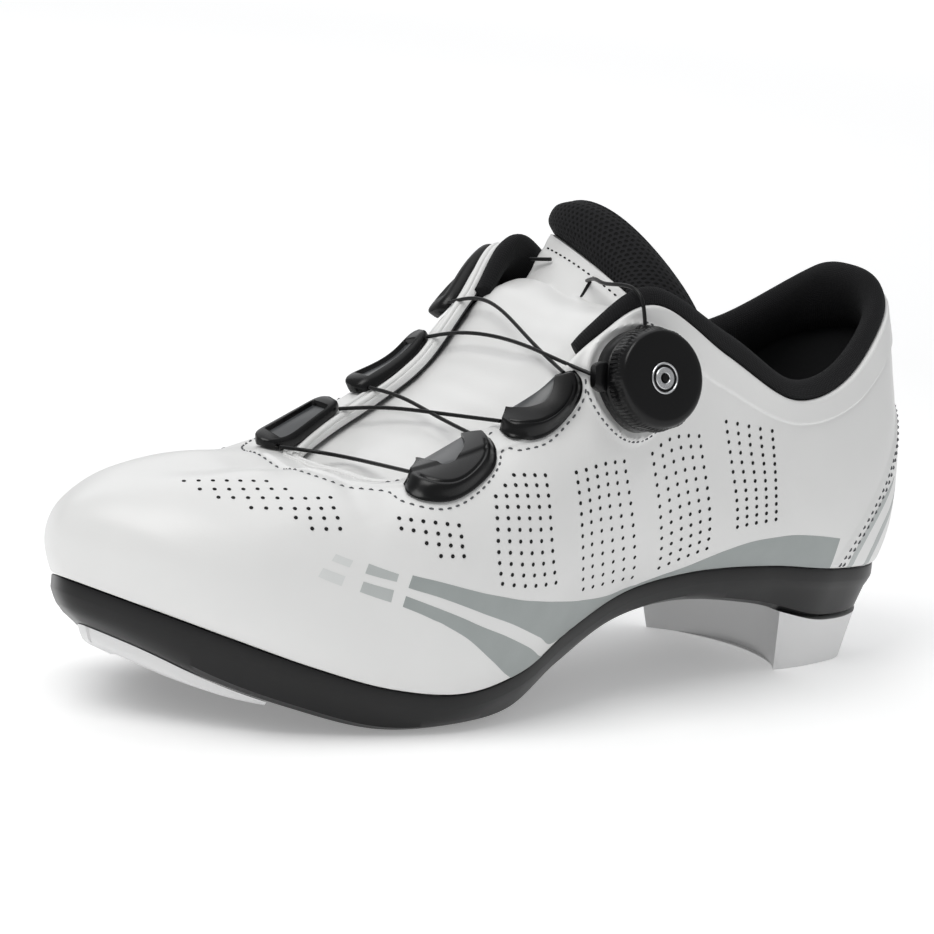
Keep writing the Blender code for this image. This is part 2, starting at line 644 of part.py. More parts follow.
def top_row(row, count=TONGUE_COLUMNS):
    """Curve across the free top of the tongue; the row holds shares of length, height and width."""
    x, x_tilt, x_bend, height, tilt, bend, half = row
    v = np.linspace(1.0, -1.0, count)
    return np.column_stack([(x + x_tilt * v + x_bend * v ** 2) * SOLE_LENGTH - HEEL_TO_ORIGIN,
                            (TONGUE_CENTRE + half * v) * BALL_WIDTH,
                            (height + tilt * v + bend * v ** 2) * COLLAR_HEIGHT])


def tongue_surface():
    """Rows of the tongue's outer face, from under the vamp to the top edge."""
    rows = []
    share = np.linspace(0.085, -0.095, TONGUE_COLUMNS)
    for t in (0.80, 0.90, 0.985):
        climb = 0.80 + (t - 0.80) * (1.0 - 0.3 * np.linspace(-1.0, 1.0, TONGUE_COLUMNS) ** 4)
        rows.append(skin(share, climb) - skin_normal(share, climb) * (WALL + 0.0018))
    for share_along in THROAT_STATIONS:
        deep = WALL + 0.0013 + 0.0046 * min(1.0, max(0.0, (0.5695 - share_along) / 0.0987))
        rows.append(throat_row(share_along * SOLE_LENGTH - HEEL_TO_ORIGIN, deep, 0.0018))
    for row in TONGUE_TOP_TABLE:
        rows.append(top_row(row))
    return np.array(rows)


def surface_normals(grid):
    """Directions square to a grid of points."""
    along = np.gradient(grid, axis=0)
    across = np.gradient(grid, axis=1)
    normal = np.cross(along, across)
    normal /= np.maximum(np.linalg.norm(normal, axis=-1, keepdims=True), 1e-12)
    if normal[..., 2].mean() < 0.0:
        normal = -normal
    return normal


def make_tongue(coll):
    """Tongue laid under the throat edges, with its free top standing above the collar."""
    outer = tongue_surface()
    inner = outer - surface_normals(outer) * TONGUE_THICKNESS
    points, faces = shell(outer, inner, False)
    return solid("tongue", points, faces, coll, "white_leather")


def make_tongue_pad(coll):
    """Padded top of the tongue."""
    outer = np.array([top_row(row) for row in TONGUE_PAD_TABLE])
    normal = surface_normals(outer)
    edge = surface_normals(tongue_surface())[-1]
    normal[0] = edge
    normal[1] = (edge + normal[1]) / np.linalg.norm(edge + normal[1], axis=1)[:, None]
    swell = np.array([0.0004, 0.0022, 0.0030, 0.0028, 0.0010])[:, None, None]
    thick = np.array([0.0032, 0.0050, 0.0058, 0.0054, 0.0036])[:, None, None]
    face = outer + normal * swell
    back = outer - normal * thick
    points, faces = shell(face, back, False)
    return solid("tongue_pad", points, faces, coll, "black_mesh")


def below_edge(p, distance):
    """Climb share t that lies a distance below the top edge on each rib."""
    climb = np.linspace(1.0, 0.6, 41)
    place, rows = np.meshgrid(p, climb, indexing="ij")
    line = skin(place, rows)
    run = np.concatenate([np.zeros((len(p), 1)),
                          np.cumsum(np.linalg.norm(np.diff(line, axis=1), axis=2), 1)], 1)
    return np.array([np.interp(distance[i], run[i], climb) for i in range(len(p))])


def make_collar_lining(coll):
    """Padded band inside the collar, standing a little above the white edge."""
    p = np.linspace(COLLAR_PAD_FRONT_OUTER, COLLAR_PAD_FRONT_INNER, 38)
    edge = skin(p, 1.0)
    up = edge - skin(p, 0.97)
    up /= np.linalg.norm(up, axis=1)[:, None]
    outward = skin_normal(p, np.full(len(p), 1.0))
    end = np.minimum(np.arange(len(p)), np.arange(len(p))[::-1]) / 5.0
    full = np.clip(end, 0.0, 1.0) ** 0.8
    profile = ((2.85, -13.0), (2.85, -8.0), (2.85, -3.0), (2.85, 0.80), (0.3, 0.80), (0.5, 3.2),
               (1.6, 5.2), (3.9, 5.5), (6.0, 3.6), (6.9, -1.0), (6.2, -7.0), (3.4, -13.2))
    rings = []
    for depth, rise in profile:
        thick = depth if depth <= 2.85 else 2.85 + (depth - 2.85) * (0.35 + 0.65 * full)
        thick = np.broadcast_to(thick, full.shape)[:, None] * MM
        if rise > 0.0:
            height = (rise if rise < 1.0 else rise * (0.55 + 0.45 * full)) * MM
            rings.append(edge - outward * thick + up * np.broadcast_to(height, full.shape)[:, None])
        else:
            climb = below_edge(p, -rise * (0.35 + 0.65 * full) * MM)
            rings.append(skin(p, climb) - skin_normal(p, climb) * thick)
    points, faces = loft(np.stack(rings, 1))
    return solid("collar_lining", points, faces, coll, "black_mesh")


def local_frame(p, t, turn=0.0, facing=None):
    """Middle point, two directions along the surface and the outward direction."""
    middle = skin(p, t)
    normal = skin_normal(np.array([p]), np.array([t]))[0]
    if facing is not None:
        normal = np.array(facing) / np.linalg.norm(facing)
    along = skin(p + 0.004, t) - skin(p - 0.004, t)
    along -= normal * np.dot(along, normal)
    along /= np.linalg.norm(along)
    up = np.cross(normal, along)
    angle = math.radians(turn)
    first = along * math.cos(angle) + up * math.sin(angle)
    return middle, first, np.cross(normal, first), normal


def drop_on(frame, p, t, a, b):
    """Height of the surface over a fitting's own plane, at distances a and b from its middle."""
    middle, first, second, normal = frame
    a = np.ravel(np.asarray(a, float))
    b = np.ravel(np.asarray(b, float))
    place = np.full(len(a), p)
    climb = np.full(len(a), t)
    step = 0.002
    for _ in range(12):
        here = skin(place, climb)
        miss = here - middle
        da = a - miss @ first
        db = b - miss @ second
        by_p = (skin(place + step, climb) - here) / step
        by_t = (skin(place, climb + step) - here) / step
        m11 = by_p @ first
        m12 = by_t @ first
        m21 = by_p @ second
        m22 = by_t @ second
        det = m11 * m22 - m12 * m21
        place = place + np.clip((da * m22 - db * m12) / det, -0.02, 0.02)
        climb = climb + np.clip((db * m11 - da * m21) / det, -0.08, 0.08)
    return (skin(place, climb) - middle) @ normal


def make_guide(row, coll):
    """Low lace guide following the surface, crescent shaped on the outer side."""
    name, p, t, turn, length, width, height, hollow = row
    frame = local_frame(p, t, turn)
    middle, first, second, normal = frame
    u = np.linspace(-1.0, 1.0, 11)
    v = np.linspace(-1.0, 1.0, 5)
    cols_u, cols_v = np.meshgrid(u, v, indexing="ij")
    round_end = np.sqrt(np.clip(1.0 - (np.abs(cols_u) * 0.985) ** 4.0, 0.0, 1.0)) * 0.93 + 0.07
    a = cols_u * length / 2.0 * MM
    b = (cols_v * width / 2.0 * round_end + hollow * (cols_u ** 2 - 0.4)) * MM
    under = drop_on(frame, p, t, a, b).reshape(a.shape)
    dome = (1.0 - 0.75 * cols_v ** 4) * (1.0 - 0.6 * cols_u ** 8)
    low = under + (GAP + 0.0009)
    high = low + height * MM * (0.25 + 0.75 * dome)
    spread = (middle + a[..., None] * first + b[..., None] * second)
    points, faces = shell(spread + high[..., None] * normal, spread + low[..., None] * normal, False)
    return solid(name, points, faces, coll, "black_plastic")


def make_dial(coll):
    """Dial base seated on the upper, turning knob with a knurled side, and plain centre cap."""
    frame = local_frame(DIAL_P, DIAL_T, 0.0, DIAL_FACING)
    middle, first, second, normal = frame
    count = 28
    turn = np.arange(count) * 2.0 * math.pi / count
    rings = []
    plane = []
    for share in (1.0, 0.9):
        a = DIAL_BASE_RADIUS * share * np.cos(turn)
        b = DIAL_BASE_RADIUS * share * np.sin(turn)
        plane.append((a, b))
    a, b = plane[0]
    under = drop_on(frame, DIAL_P, DIAL_T, a, b)
    seat = float(np.max(np.r_[under, 0.0])) + GAP + 0.0014
    flat = seat + DIAL_BASE_HEIGHT

    def lift(points_a, points_b, height):
        return (middle + points_a[:, None] * first + points_b[:, None] * second
                + np.broadcast_to(height, points_a.shape)[:, None] * normal)

    rings.append(lift(plane[1][0], plane[1][1], flat))
    rings.append(lift(a, b, flat - 0.0008))
    rings.append(lift(a, b, under + GAP + 0.0014))
    points, faces = disc_body(rings, lambda pa, pb: drop_on(frame, DIAL_P, DIAL_T, pa, pb) + GAP + 0.0014, frame,
                              flat)
    base = solid("dial_base", points, faces, coll, "black_plastic")
    count = KNURLS * 4
    turn = np.arange(count) * 2.0 * math.pi / count
    knurl = np.where(np.arange(count) % 4 < 2, 1.0, 0.0)
    low = flat + GAP
    levels = ((0.900, 0.0, 0.0), (0.985, 0.06, 0.4), (0.985, 0.52, 0.4), (0.955, 0.58, 0.0), (0.945, 0.92, 0.0),
              (0.40, 1.03, 0.0))
    rings = []
    for share, rise, tooth in levels:
        radius = DIAL_RADIUS * share + knurl * tooth * MM
        rings.append(lift(radius * np.cos(turn), radius * np.sin(turn), low + rise * DIAL_HEIGHT))
    points, faces = stacked(rings)
    knob = solid("dial_knob", points, faces, coll, "black_plastic")
    count = 20
    turn = np.arange(count) * 2.0 * math.pi / count
    top = low + 1.03 * DIAL_HEIGHT + GAP
    rings = []
    for share, rise in ((1.0, 0.0), (1.0, 0.0006), (0.85, 0.0009)):
        radius = np.full(count, DIAL_CAP_RADIUS * share)
        rings.append(lift(radius * np.cos(turn), radius * np.sin(turn), top + rise))
    points, faces = stacked(rings)
    cap = solid("dial_cap", points, faces, coll, "bright_cap")
    return base, knob, cap


def stacked(rings):
    """Body of stacked rings with a fan at each end."""
    count = len(rings[0])
    verts = np.vstack(rings + [rings[0].mean(0)[None], rings[-1].mean(0)[None]])
    low = len(rings) * count
    faces = []
    for i in range(len(rings) - 1):
        for c in range(count):
            d = (c + 1) % count
            faces.append((i * count + c, i * count + d, (i + 1) * count + d, (i + 1) * count + c))
    for c in range(count):
        d = (c + 1) % count
        faces.append((d, c, low))
        faces.append(((len(rings) - 1) * count + c, (len(rings) - 1) * count + d, low + 1))
    return verts, faces


def disc_body(rings, under, frame, flat):
    """Round body with a flat top whose underside follows the surface it stands on."""
    middle, first, second, normal = frame
    count = len(rings[0])
    last = rings[-1] - middle
    inner_rings = []
    for share in (0.66, 0.33):
        a = (last @ first) * share
        b = (last @ second) * share
        height = under(a, b)
        inner_rings.append(middle + a[:, None] * first + b[:, None] * second + height[:, None] * normal)
    zero = np.zeros(1)
    centre = middle + under(zero, zero)[0] * normal
    every = list(rings) + inner_rings
    verts = np.vstack(every + [(middle + flat * normal)[None], centre[None]])
    top = len(every) * count
    faces = []
    for i in range(len(every) - 1):
        for c in range(count):
            d = (c + 1) % count
            faces.append((i * count + c, i * count + d, (i + 1) * count + d, (i + 1) * count + c))
    for c in range(count):
        d = (c + 1) % count
        faces.append((d, c, top))
        faces.append(((len(every) - 1) * count + c, (len(every) - 1) * count + d, top + 1))
    return verts, faces


def tube(name, points, coll, mat_name):
    """Round cord through a few points."""
    curve = bpy.data.curves.new(name, "CURVE")
    curve.dimensions = "3D"
    curve.bevel_depth = LACE_DIAMETER / 2.0
    curve.bevel_resolution = 2
    curve.use_fill_caps = True
    spline = curve.splines.new("POLY")
    spline.points.add(len(points) - 1)
    for slot, point in zip(spline.points, points):
        slot.co = (point[0], point[1], point[2], 1.0)
    holder = bpy.data.objects.new(name, curve)
    coll.objects.link(holder)
    graph = bpy.context.evaluated_depsgraph_get()
    mesh = bpy.data.meshes.new_from_object(holder.evaluated_get(graph))
    matrix = holder.matrix_world.copy()
    bpy.data.objects.remove(holder, do_unlink=True)
    bm = bmesh.new()
    bm.from_mesh(mesh)
    bmesh.ops.remove_doubles(bm, verts=bm.verts, dist=1e-5)
    bmesh.ops.recalc_face_normals(bm, faces=bm.faces)
    if bm.calc_volume(signed=True) < 0.0:
        bmesh.ops.reverse_faces(bm, faces=bm.faces)
    bm.to_mesh(mesh)
    bm.free()
    obj = bpy.data.objects.new(name, mesh)
    obj.matrix_world = matrix
    mesh.materials.clear()
    mesh.materials.append(material(mat_name))
    coll.objects.link(obj)
    return obj


def place_beside(p, t, distance):
    """Share p reached after a distance along the shoe from a place on the skin."""
    rate = np.linalg.norm(skin(p + 0.005, t) - skin(p - 0.005, t)) / 0.01
    return p + distance / rate


def guide_port(index, end):
    """Where the lace leaves an end of a guide, and where it passes over the throat edge."""
    name, p, t, turn, length, width, height, hollow = GUIDE_TABLE[index]
    frame = local_frame(p, t, turn)
    middle, first, second, normal = frame
    share = 0.84
    a = end * share * length / 2.0 * MM
    thin = math.sqrt(1.0 - (share * 0.985) ** 4.0) * 0.93 + 0.07
    b = (width / 2.0 * thin + hollow * (share ** 2 - 0.4) + 0.9) * MM
    under = drop_on(frame, p, t, np.array([a]), np.array([b]))[0]
    port = middle + a * first + b * second + (under + 0.0022) * normal
    edge_p = place_beside(p, 0.97, a)
    edge = skin(edge_p, 1.0) + skin_normal(np.array([edge_p]), np.array([1.0]))[0] * 0.0022
    return port, edge


def meeting(line_a, line_b, lift):
    """Point over the throat where two straight runs cross in plan."""
    way_a = line_a[1] - line_a[0]
    way_b = line_b[1] - line_b[0]
    gap = line_b[0] - line_a[0]
    det = way_a[1] * way_b[0] - way_a[0] * way_b[1]
    share_a = (gap[1] * way_b[0] - gap[0] * way_b[1]) / det
    share_b = (way_a[0] * gap[1] - way_a[1] * gap[0]) / det
    point_a = line_a[0] + way_a * share_a
    point_b = line_b[0] + way_b * share_b
    middle = (point_a + point_b) / 2.0
    middle[2] = max(point_a[2], point_b[2]) + lift
    return middle


def cord_line(stops, steps):
    """Points on a smooth line through the stops of a run, with a number of steps for each leg."""
    stops = np.array(stops)
    knots = np.r_[0.0, np.cumsum(np.linalg.norm(np.diff(stops, axis=0), axis=1))]
    query = [np.linspace(knots[i], knots[i + 1], n, endpoint=False) for i, n in enumerate(steps)]
    return hermite(knots, stops, np.r_[np.concatenate(query), knots[-1]])


def over_collar(p, height, outward):
    """Point beside the collar edge at a height over it and a distance out from it."""
    edge = skin(p, 1.0)
    up = edge - skin(p, 0.97)
    up /= np.linalg.norm(up)
    return edge + up * height + skin_normal(np.array([p]), np.array([1.0]))[0] * outward


def make_lace(coll, cuts):
    """Lace runs between the guides, joined where they cross, and the runs over the tongue's top."""
    outer_front, outer_rear, inner_front, inner_middle, inner_rear = range(5)
    start, start_edge = guide_port(inner_front, 1)
    finish, finish_edge = guide_port(outer_front, -1)
    middle = (start_edge + finish_edge) / 2.0 + np.array([0.0, 0.0, 0.0008])
    tube("lace_front", cord_line([start, start_edge, middle, finish_edge, finish], (1, 3, 3, 1)), coll,
         "dark_cable")

    frame = local_frame(DIAL_P, DIAL_T, 0.0, DIAL_FACING)
    centre, first, second, normal = frame
    reach = DIAL_BASE_RADIUS + 0.0010
    turn = math.radians(DIAL_PORT_TURN)
    dial_front = centre + (second * math.sin(turn) - first * math.cos(turn)) * reach + normal * 0.0036
    dial_top = centre + (second * math.cos(turn) + first * math.sin(turn)) * reach + normal * 0.0038
    pairs = (
        ("lace_lower_cross", guide_port(outer_rear, -1), guide_port(inner_front, -1),
         guide_port(outer_front, 1), guide_port(inner_middle, 1)),
        ("lace_upper_cross", guide_port(inner_rear, 1), guide_port(outer_rear, 1),
         guide_port(inner_middle, -1), (dial_front, over_collar(0.2330, 0.0, 0.0030))),
    )
    for name, a0, a1, b0, b1 in pairs:
        meet = meeting((a0[1], a1[1]), (b0[1], b1[1]), 0.0004)
        under = meet - np.array([0.0, 0.0, 0.0004])
        run = tube(name, cord_line([a0[0], a0[1], meet, a1[1], a1[0]], (1, 3, 3, 1)), coll, "dark_cable")
        other = tube(name + "_form", cord_line([b0[0], b0[1], under, b1[1], b1[0]], (1, 3, 3, 1)), cuts,
                     "dark_cable")
        other.hide_render = True
        other.display_type = "WIRE"
        boolean(run, other, "UNION")

    slits = top_row(TONGUE_TOP_TABLE[1], 21) + np.array([0.0009, 0.0, 0.0008])
    inside = DIAL_P + 0.0023
    stops = [dial_top, over_collar(DIAL_P + 0.0068, 0.0050, 0.0022),
             over_collar(DIAL_P + 0.0048, 0.0072, -0.0032), over_collar(inside, 0.0080, -0.0086),
             slits[8] * 0.7 + over_collar(inside, 0.0110, -0.0086) * 0.3,
             slits[8]]
    tube("lace_top_outer", cord_line(stops, (4, 2, 2, 3, 2)), coll, "dark_cable")
    stops = [over_collar(0.7180, 0.0020, -0.0090), slits[16]]
    tube("lace_top_inner", cord_line(stops, (3,)), coll, "dark_cable")


def main():
    """Build every piece."""
    clear_scene()
    parts = new_collection("cycling_shoe")
    cuts = new_collection("cutters")
    make_outsole(parts, cuts)
    make_heel_pad(parts)
    make_toe_bumper(parts)
    make_bolt("cleat_bolt_outer", SLOT_ACROSS[0], parts, cuts)
    make_bolt("cleat_bolt_inner", SLOT_ACROSS[1], parts, cuts)
    make_insole(parts)
    make_upper(parts)
    make_tongue(parts)
    make_tongue_pad(parts)
    make_collar_lining(parts)
    for row in GUIDE_TABLE:
        make_guide(row, parts)
    make_dial(parts)
    make_lace(parts, cuts)


main()
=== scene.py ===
"""Looks of a left road cycling shoe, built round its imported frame.

The file is laid out as a Blender add-on and run as a script. The upper's shape is one skin over the last: p
goes round the shoe from the toe by the outer side and the heel to the inner side, and t climbs from the feather
line to the top edge. Everything on the upper is placed by p and t, so it follows the same skin.
Lengths are in metres. X runs from heel to toe, Y to the outer side and Z up.
"""
import math

import bmesh
import bpy
import numpy as np
from mathutils import Matrix, Vector


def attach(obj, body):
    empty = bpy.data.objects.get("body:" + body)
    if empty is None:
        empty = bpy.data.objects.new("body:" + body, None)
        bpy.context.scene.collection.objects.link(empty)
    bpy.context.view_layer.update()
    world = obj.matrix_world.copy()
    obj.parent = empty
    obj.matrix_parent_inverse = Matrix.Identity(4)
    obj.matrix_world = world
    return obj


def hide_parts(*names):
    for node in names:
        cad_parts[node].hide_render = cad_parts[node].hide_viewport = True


bl_info = {
    "name": "Road cycling shoe",
    "version": (1, 0, 0),
    "blender": (4, 5, 0),
    "location": "View3D > Sidebar > Shoe",
    "description": "Dresses the packed frame of a left road cycling shoe",
    "category": "Object",
}

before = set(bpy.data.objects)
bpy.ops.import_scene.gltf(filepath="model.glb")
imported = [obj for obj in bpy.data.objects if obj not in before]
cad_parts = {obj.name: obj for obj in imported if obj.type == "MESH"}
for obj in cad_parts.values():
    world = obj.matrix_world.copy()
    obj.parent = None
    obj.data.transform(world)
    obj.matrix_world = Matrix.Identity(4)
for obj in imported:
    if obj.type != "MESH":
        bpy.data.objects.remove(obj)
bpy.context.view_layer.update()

MM = 0.001
# Driving sizes of the part, and the small distances that the pieces share.
SOLE_LENGTH = 0.2634
BALL_WIDTH = 0.0842
COLLAR_HEIGHT = 0.099
HEEL_TO_ORIGIN = 0.030
WALL = 0.0020
SOLE_BAND = 0.0036
GAP = 0.0003

SIDE_COLUMNS = ("along", "feather", "base")
SIDE_TABLE = (
    (0.000, 0.273, 0.150),
    (0.057, 0.269, 0.135),
    (0.129, 0.279, 0.135),
    (0.228, 0.305, 0.192),
    (0.338, 0.306, 0.217),
    (0.425, 0.277, 0.186),
    (0.513, 0.208, 0.104),
    (0.596, 0.132, 0.022),
    (0.676, 0.101, 0.006),
    (0.756, 0.124, 0.012),
    (0.829, 0.178, 0.062),
    (0.902, 0.246, 0.130),
    (0.949, 0.291, 0.192),
    (1.000, 0.339, 0.250),
)

RIB_COLUMNS = ("along", "across", "swell", "rise", "upper_along", "upper_across",
               "upper_height", "edge_along", "edge_across", "edge_height")
RIB_TABLE = (
    (1.000, -0.047, 0.006, 0.150,  0.952, -0.012, 0.572, 0.728,  0.024, 0.574),
    (0.978,  0.106, 0.022, 0.152,  0.934,  0.135, 0.570, 0.728,  0.108, 0.576),
    (0.949,  0.219, 0.040, 0.155,  0.905,  0.245, 0.560, 0.728,  0.172, 0.576),
    (0.902,  0.335, 0.052, 0.160,  0.855,  0.370, 0.546, 0.725,  0.240, 0.576),
    (0.829,  0.442, 0.052, 0.162,  0.782,  0.470, 0.538, 0.707,  0.296, 0.592),
    (0.756,  0.513, 0.047, 0.168,  0.707,  0.525, 0.575, 0.671,  0.317, 0.640),
    (0.676,  0.547, 0.048, 0.175,  0.639,  0.554, 0.599, 0.616,  0.323, 0.708),
    (0.596,  0.518, 0.058, 0.188,  0.567,  0.530, 0.650, 0.568,  0.369, 0.800),
    (0.513,  0.437, 0.078, 0.205,  0.506,  0.500, 0.770, 0.516,  0.414, 0.942),
    (0.425,  0.376, 0.092, 0.221,  0.440,  0.468, 0.815, 0.445,  0.444, 1.027),
    (0.338,  0.362, 0.074, 0.208,  0.346,  0.420, 0.731, 0.336,  0.416, 0.883),
    (0.228,  0.374, 0.047, 0.170,  0.221,  0.402, 0.622, 0.217,  0.384, 0.745),
    (0.129,  0.369, 0.035, 0.158,  0.118,  0.372, 0.630, 0.118,  0.319, 0.799),
    (0.057,  0.305, 0.036, 0.161,  0.046,  0.296, 0.667, 0.046,  0.213, 0.929),
    (0.000,  0.000, 0.048, 0.162, -0.015,  0.000, 0.667, 0.019,  0.000, 1.000),
    (0.057, -0.293, 0.036, 0.161,  0.046, -0.284, 0.667, 0.046, -0.213, 0.939),
    (0.129, -0.349, 0.035, 0.158,  0.118, -0.367, 0.630, 0.118, -0.319, 0.819),
    (0.228, -0.337, 0.059, 0.170,  0.221, -0.402, 0.622, 0.217, -0.378, 0.773),
    (0.338, -0.278, 0.112, 0.208,  0.346, -0.402, 0.750, 0.328, -0.367, 0.897),
    (0.425, -0.254, 0.125, 0.238,  0.440, -0.361, 0.840, 0.433, -0.285, 1.078),
    (0.513, -0.290, 0.091, 0.222,  0.506, -0.352, 0.772, 0.503, -0.196, 0.958),
    (0.596, -0.372, 0.074, 0.205,  0.567, -0.361, 0.666, 0.561, -0.168, 0.804),
    (0.676, -0.453, 0.057, 0.183,  0.639, -0.380, 0.621, 0.616, -0.155, 0.719),
    (0.756, -0.487, 0.047, 0.162,  0.707, -0.389, 0.567, 0.671, -0.155, 0.645),
    (0.829, -0.468, 0.047, 0.162,  0.782, -0.395, 0.532, 0.707, -0.141, 0.592),
    (0.902, -0.394, 0.042, 0.158,  0.855, -0.340, 0.543, 0.725, -0.099, 0.576),
    (0.949, -0.296, 0.024, 0.153,  0.905, -0.258, 0.560, 0.728, -0.047, 0.574),
    (0.982, -0.177, 0.012, 0.150,  0.938, -0.150, 0.570, 0.728, -0.008, 0.574),
)

def run_along(points):
    """Length run along a line of points, at every point."""
    return np.r_[0.0, np.cumsum(np.linalg.norm(np.diff(points, axis=0), axis=1))]


def unit(vectors):
    """Vectors brought to length one."""
    return vectors / np.linalg.norm(vectors, axis=-1, keepdims=True)


def full_turn(count):
    """Angles at even steps once round."""
    return np.arange(count) * 2.0 * math.pi / count
def hermite(knots, values, query):
    """Smooth curve through rows of values at uneven knots."""
    knots = np.asarray(knots, float)
    values = np.asarray(values, float)
    query = np.atleast_1d(np.asarray(query, float))
    slope = np.gradient(values, knots, axis=0)
    low = np.clip(np.searchsorted(knots, query) - 1, 0, len(knots) - 2)
    span = knots[low + 1] - knots[low]
    t = (query - knots[low]) / span
    if values.ndim > 1:
        span = span[:, None]
        t = t[:, None]
    return ((2 * t ** 3 - 3 * t ** 2 + 1) * values[low] + (t ** 3 - 2 * t ** 2 + t) * span * slope[low]
            + (3 * t ** 2 - 2 * t ** 3) * values[low + 1] + (t ** 3 - t ** 2) * span * slope[low + 1])


def side_height(x, column):
    """Height of the feather line or of the base over a place along the shoe."""
    table = np.array(SIDE_TABLE)
    share = np.clip((np.asarray(x, float) + HEEL_TO_ORIGIN) / SOLE_LENGTH, 0.0, 1.0)
    shape = np.shape(share)
    height = hermite(table[:, 0], table[:, SIDE_COLUMNS.index(column)], np.ravel(share))
    return height.reshape(shape) * COLLAR_HEIGHT


def rib_points():
    """Four guiding points of every rib: feather, lower bulge, upper point, top edge."""
    table = np.array(RIB_TABLE)
    column = {name: table[:, i] for i, name in enumerate(RIB_COLUMNS)}
    x = column["along"] * SOLE_LENGTH - HEEL_TO_ORIGIN
    y = column["across"] * BALL_WIDTH
    feather = np.stack([x, y, side_height(x, "feather")], 1)
    chord = np.roll(feather, -1, 0) - np.roll(feather, 1, 0)
    outward = np.stack([chord[:, 1], -chord[:, 0], 0.0 * x], 1)
    outward = unit(outward)
    bulge = feather + outward * column["swell"][:, None] * BALL_WIDTH
    bulge[:, 2] += column["rise"] * COLLAR_HEIGHT
    points = [feather, bulge]
    for name in ("upper", "edge"):
        points.append(np.stack([column[name + "_along"] * SOLE_LENGTH - HEEL_TO_ORIGIN,
                                column[name + "_across"] * BALL_WIDTH,
                                column[name + "_height"] * COLLAR_HEIGHT], 1))
    return np.stack(points, 1)


RIBS = rib_points()
RIB_PLACES = np.r_[0.0, np.cumsum(np.linalg.norm(np.roll(RIBS[:, 0], -1, 0) - RIBS[:, 0], axis=1))]
GIRTH = RIB_PLACES[-1]


def rib_at(p):
    """Guiding points of the rib at share p of the way round, toe to outer side to heel to inner side."""
    knots = np.r_[RIB_PLACES[:-1][-3:] - GIRTH, RIB_PLACES, RIB_PLACES[1:4] + GIRTH]
    flat = RIBS.reshape(len(RIBS), 12)
    rows = np.vstack([flat[-3:], flat, flat[:1], flat[1:4]])
    p = np.mod(np.ravel(p), 1.0) * GIRTH
    return hermite(knots, rows, p).reshape(-1, 4, 3)


def skin(p, t):
    """Point of the upper's outer surface: p goes round, t climbs from the feather line to the edge."""
    p, t = np.broadcast_arrays(np.asarray(p, float), np.asarray(t, float))
    shape = p.shape
    p = np.ravel(p)
    t = np.ravel(t)
    guide = rib_at(p)
    chord = np.linalg.norm(np.diff(guide, axis=1), axis=2) ** 0.75
    knots = np.concatenate([np.zeros((len(p), 1)), np.cumsum(chord, 1)], 1)
    knots /= knots[:, -1:]
    result = np.zeros((len(p), 3))
    for i in range(4):
        weight = np.ones(len(p))
        for j in range(4):
            if j != i:
                weight = weight * (t - knots[:, j]) / (knots[:, i] - knots[:, j])
        result += weight[:, None] * guide[:, i]
    return result.reshape(shape + (3,))


def skin_normal(p, t):
    """Outward direction of the upper's surface."""
    step = 0.002
    round_way = skin(p + step, t) - skin(p - step, t)
    up_way = skin(p, t + step) - skin(p, t - step)
    normal = np.cross(round_way, up_way)
    length = np.linalg.norm(normal, axis=-1, keepdims=True)
    return normal / np.maximum(length, 1e-12)


# Lace guides: name, place p and t, turn in degrees, then length, width, height and hollow in millimetres.
GUIDE_TABLE = (
    ("guide_outer_front", 0.1425, 0.866, 2.0, 27.0, 10.8, 3.2, 4.2),
    ("guide_outer_rear", 0.2055, 0.914, 2.0, 25.0, 10.8, 3.2, 4.2),
    ("guide_inner_front", 0.8790, 0.936, 0.0, 27.0, 6.4, 2.8, 0.4),
    ("guide_inner_middle", 0.8030, 0.935, 0.0, 27.0, 6.4, 2.8, 0.4),
    ("guide_inner_rear", 0.7320, 0.905, 0.0, 27.0, 6.4, 2.8, 0.4),
)
DIAL_P = 0.2732
DIAL_T = 0.772
DIAL_FACING = (0.147, 0.950, 0.259)
DIAL_RADIUS = 0.0122
DIAL_BASE_RADIUS = 0.0128
DIAL_HEIGHT = 0.0063
DIAL_BASE_HEIGHT = 0.0030
DIAL_PORT_TURN = 34.0
TONGUE_THICKNESS = 0.0030
TONGUE_COLUMNS = 13
THROAT_LAP = 0.80
COLLAR_PAD_FRONT_OUTER = 0.243
COLLAR_PAD_FRONT_INNER = 0.748
CLEAT_FRONT = (0.1620, 0.0030)
CLEAT_OUTER = (0.1325, 0.0215)
CLEAT_INNER = (0.1325, -0.0155)
SLOT_ACROSS = (0.0100, -0.0040)
SLOT_FROM = 0.1320
SLOT_TO = 0.1540
# Curves across the tongue's top and its pad, as shares: place along with its tilt and bend, height with its
# tilt and bend, and half the width.
TONGUE_TOP_TABLE = (
    (0.4404, 0.0030, -0.0072, 1.0020, -0.0303, -0.0404, 0.2375),
    (0.4282, 0.0076, -0.0072, 1.0424, -0.0424, -0.0263, 0.2423),
    (0.4176, 0.0121, -0.0072, 1.0788, -0.0535, -0.0162, 0.2447),
)
TONGUE_PAD_TABLE = (
    (0.4161, 0.0121, -0.0072, 1.0859, -0.0535, -0.0162, 0.2447),
    (0.4123, 0.0015, -0.0114, 1.1162, -0.0667, -0.0404, 0.2447),
    (0.4055, -0.0091, -0.0159, 1.1495, -0.0798, -0.0687, 0.2423),
    (0.3971, -0.0197, -0.0205, 1.1798, -0.0919, -0.0990, 0.2375),
    (0.3880, -0.0296, -0.0243, 1.2000, -0.1010, -0.1253, 0.2304),
)
TONGUE_CENTRE = 0.0416
THROAT_STATIONS = (0.6967, 0.6796, 0.6530, 0.6188, 0.5847, 0.5505, 0.5163, 0.4822, 0.4556)


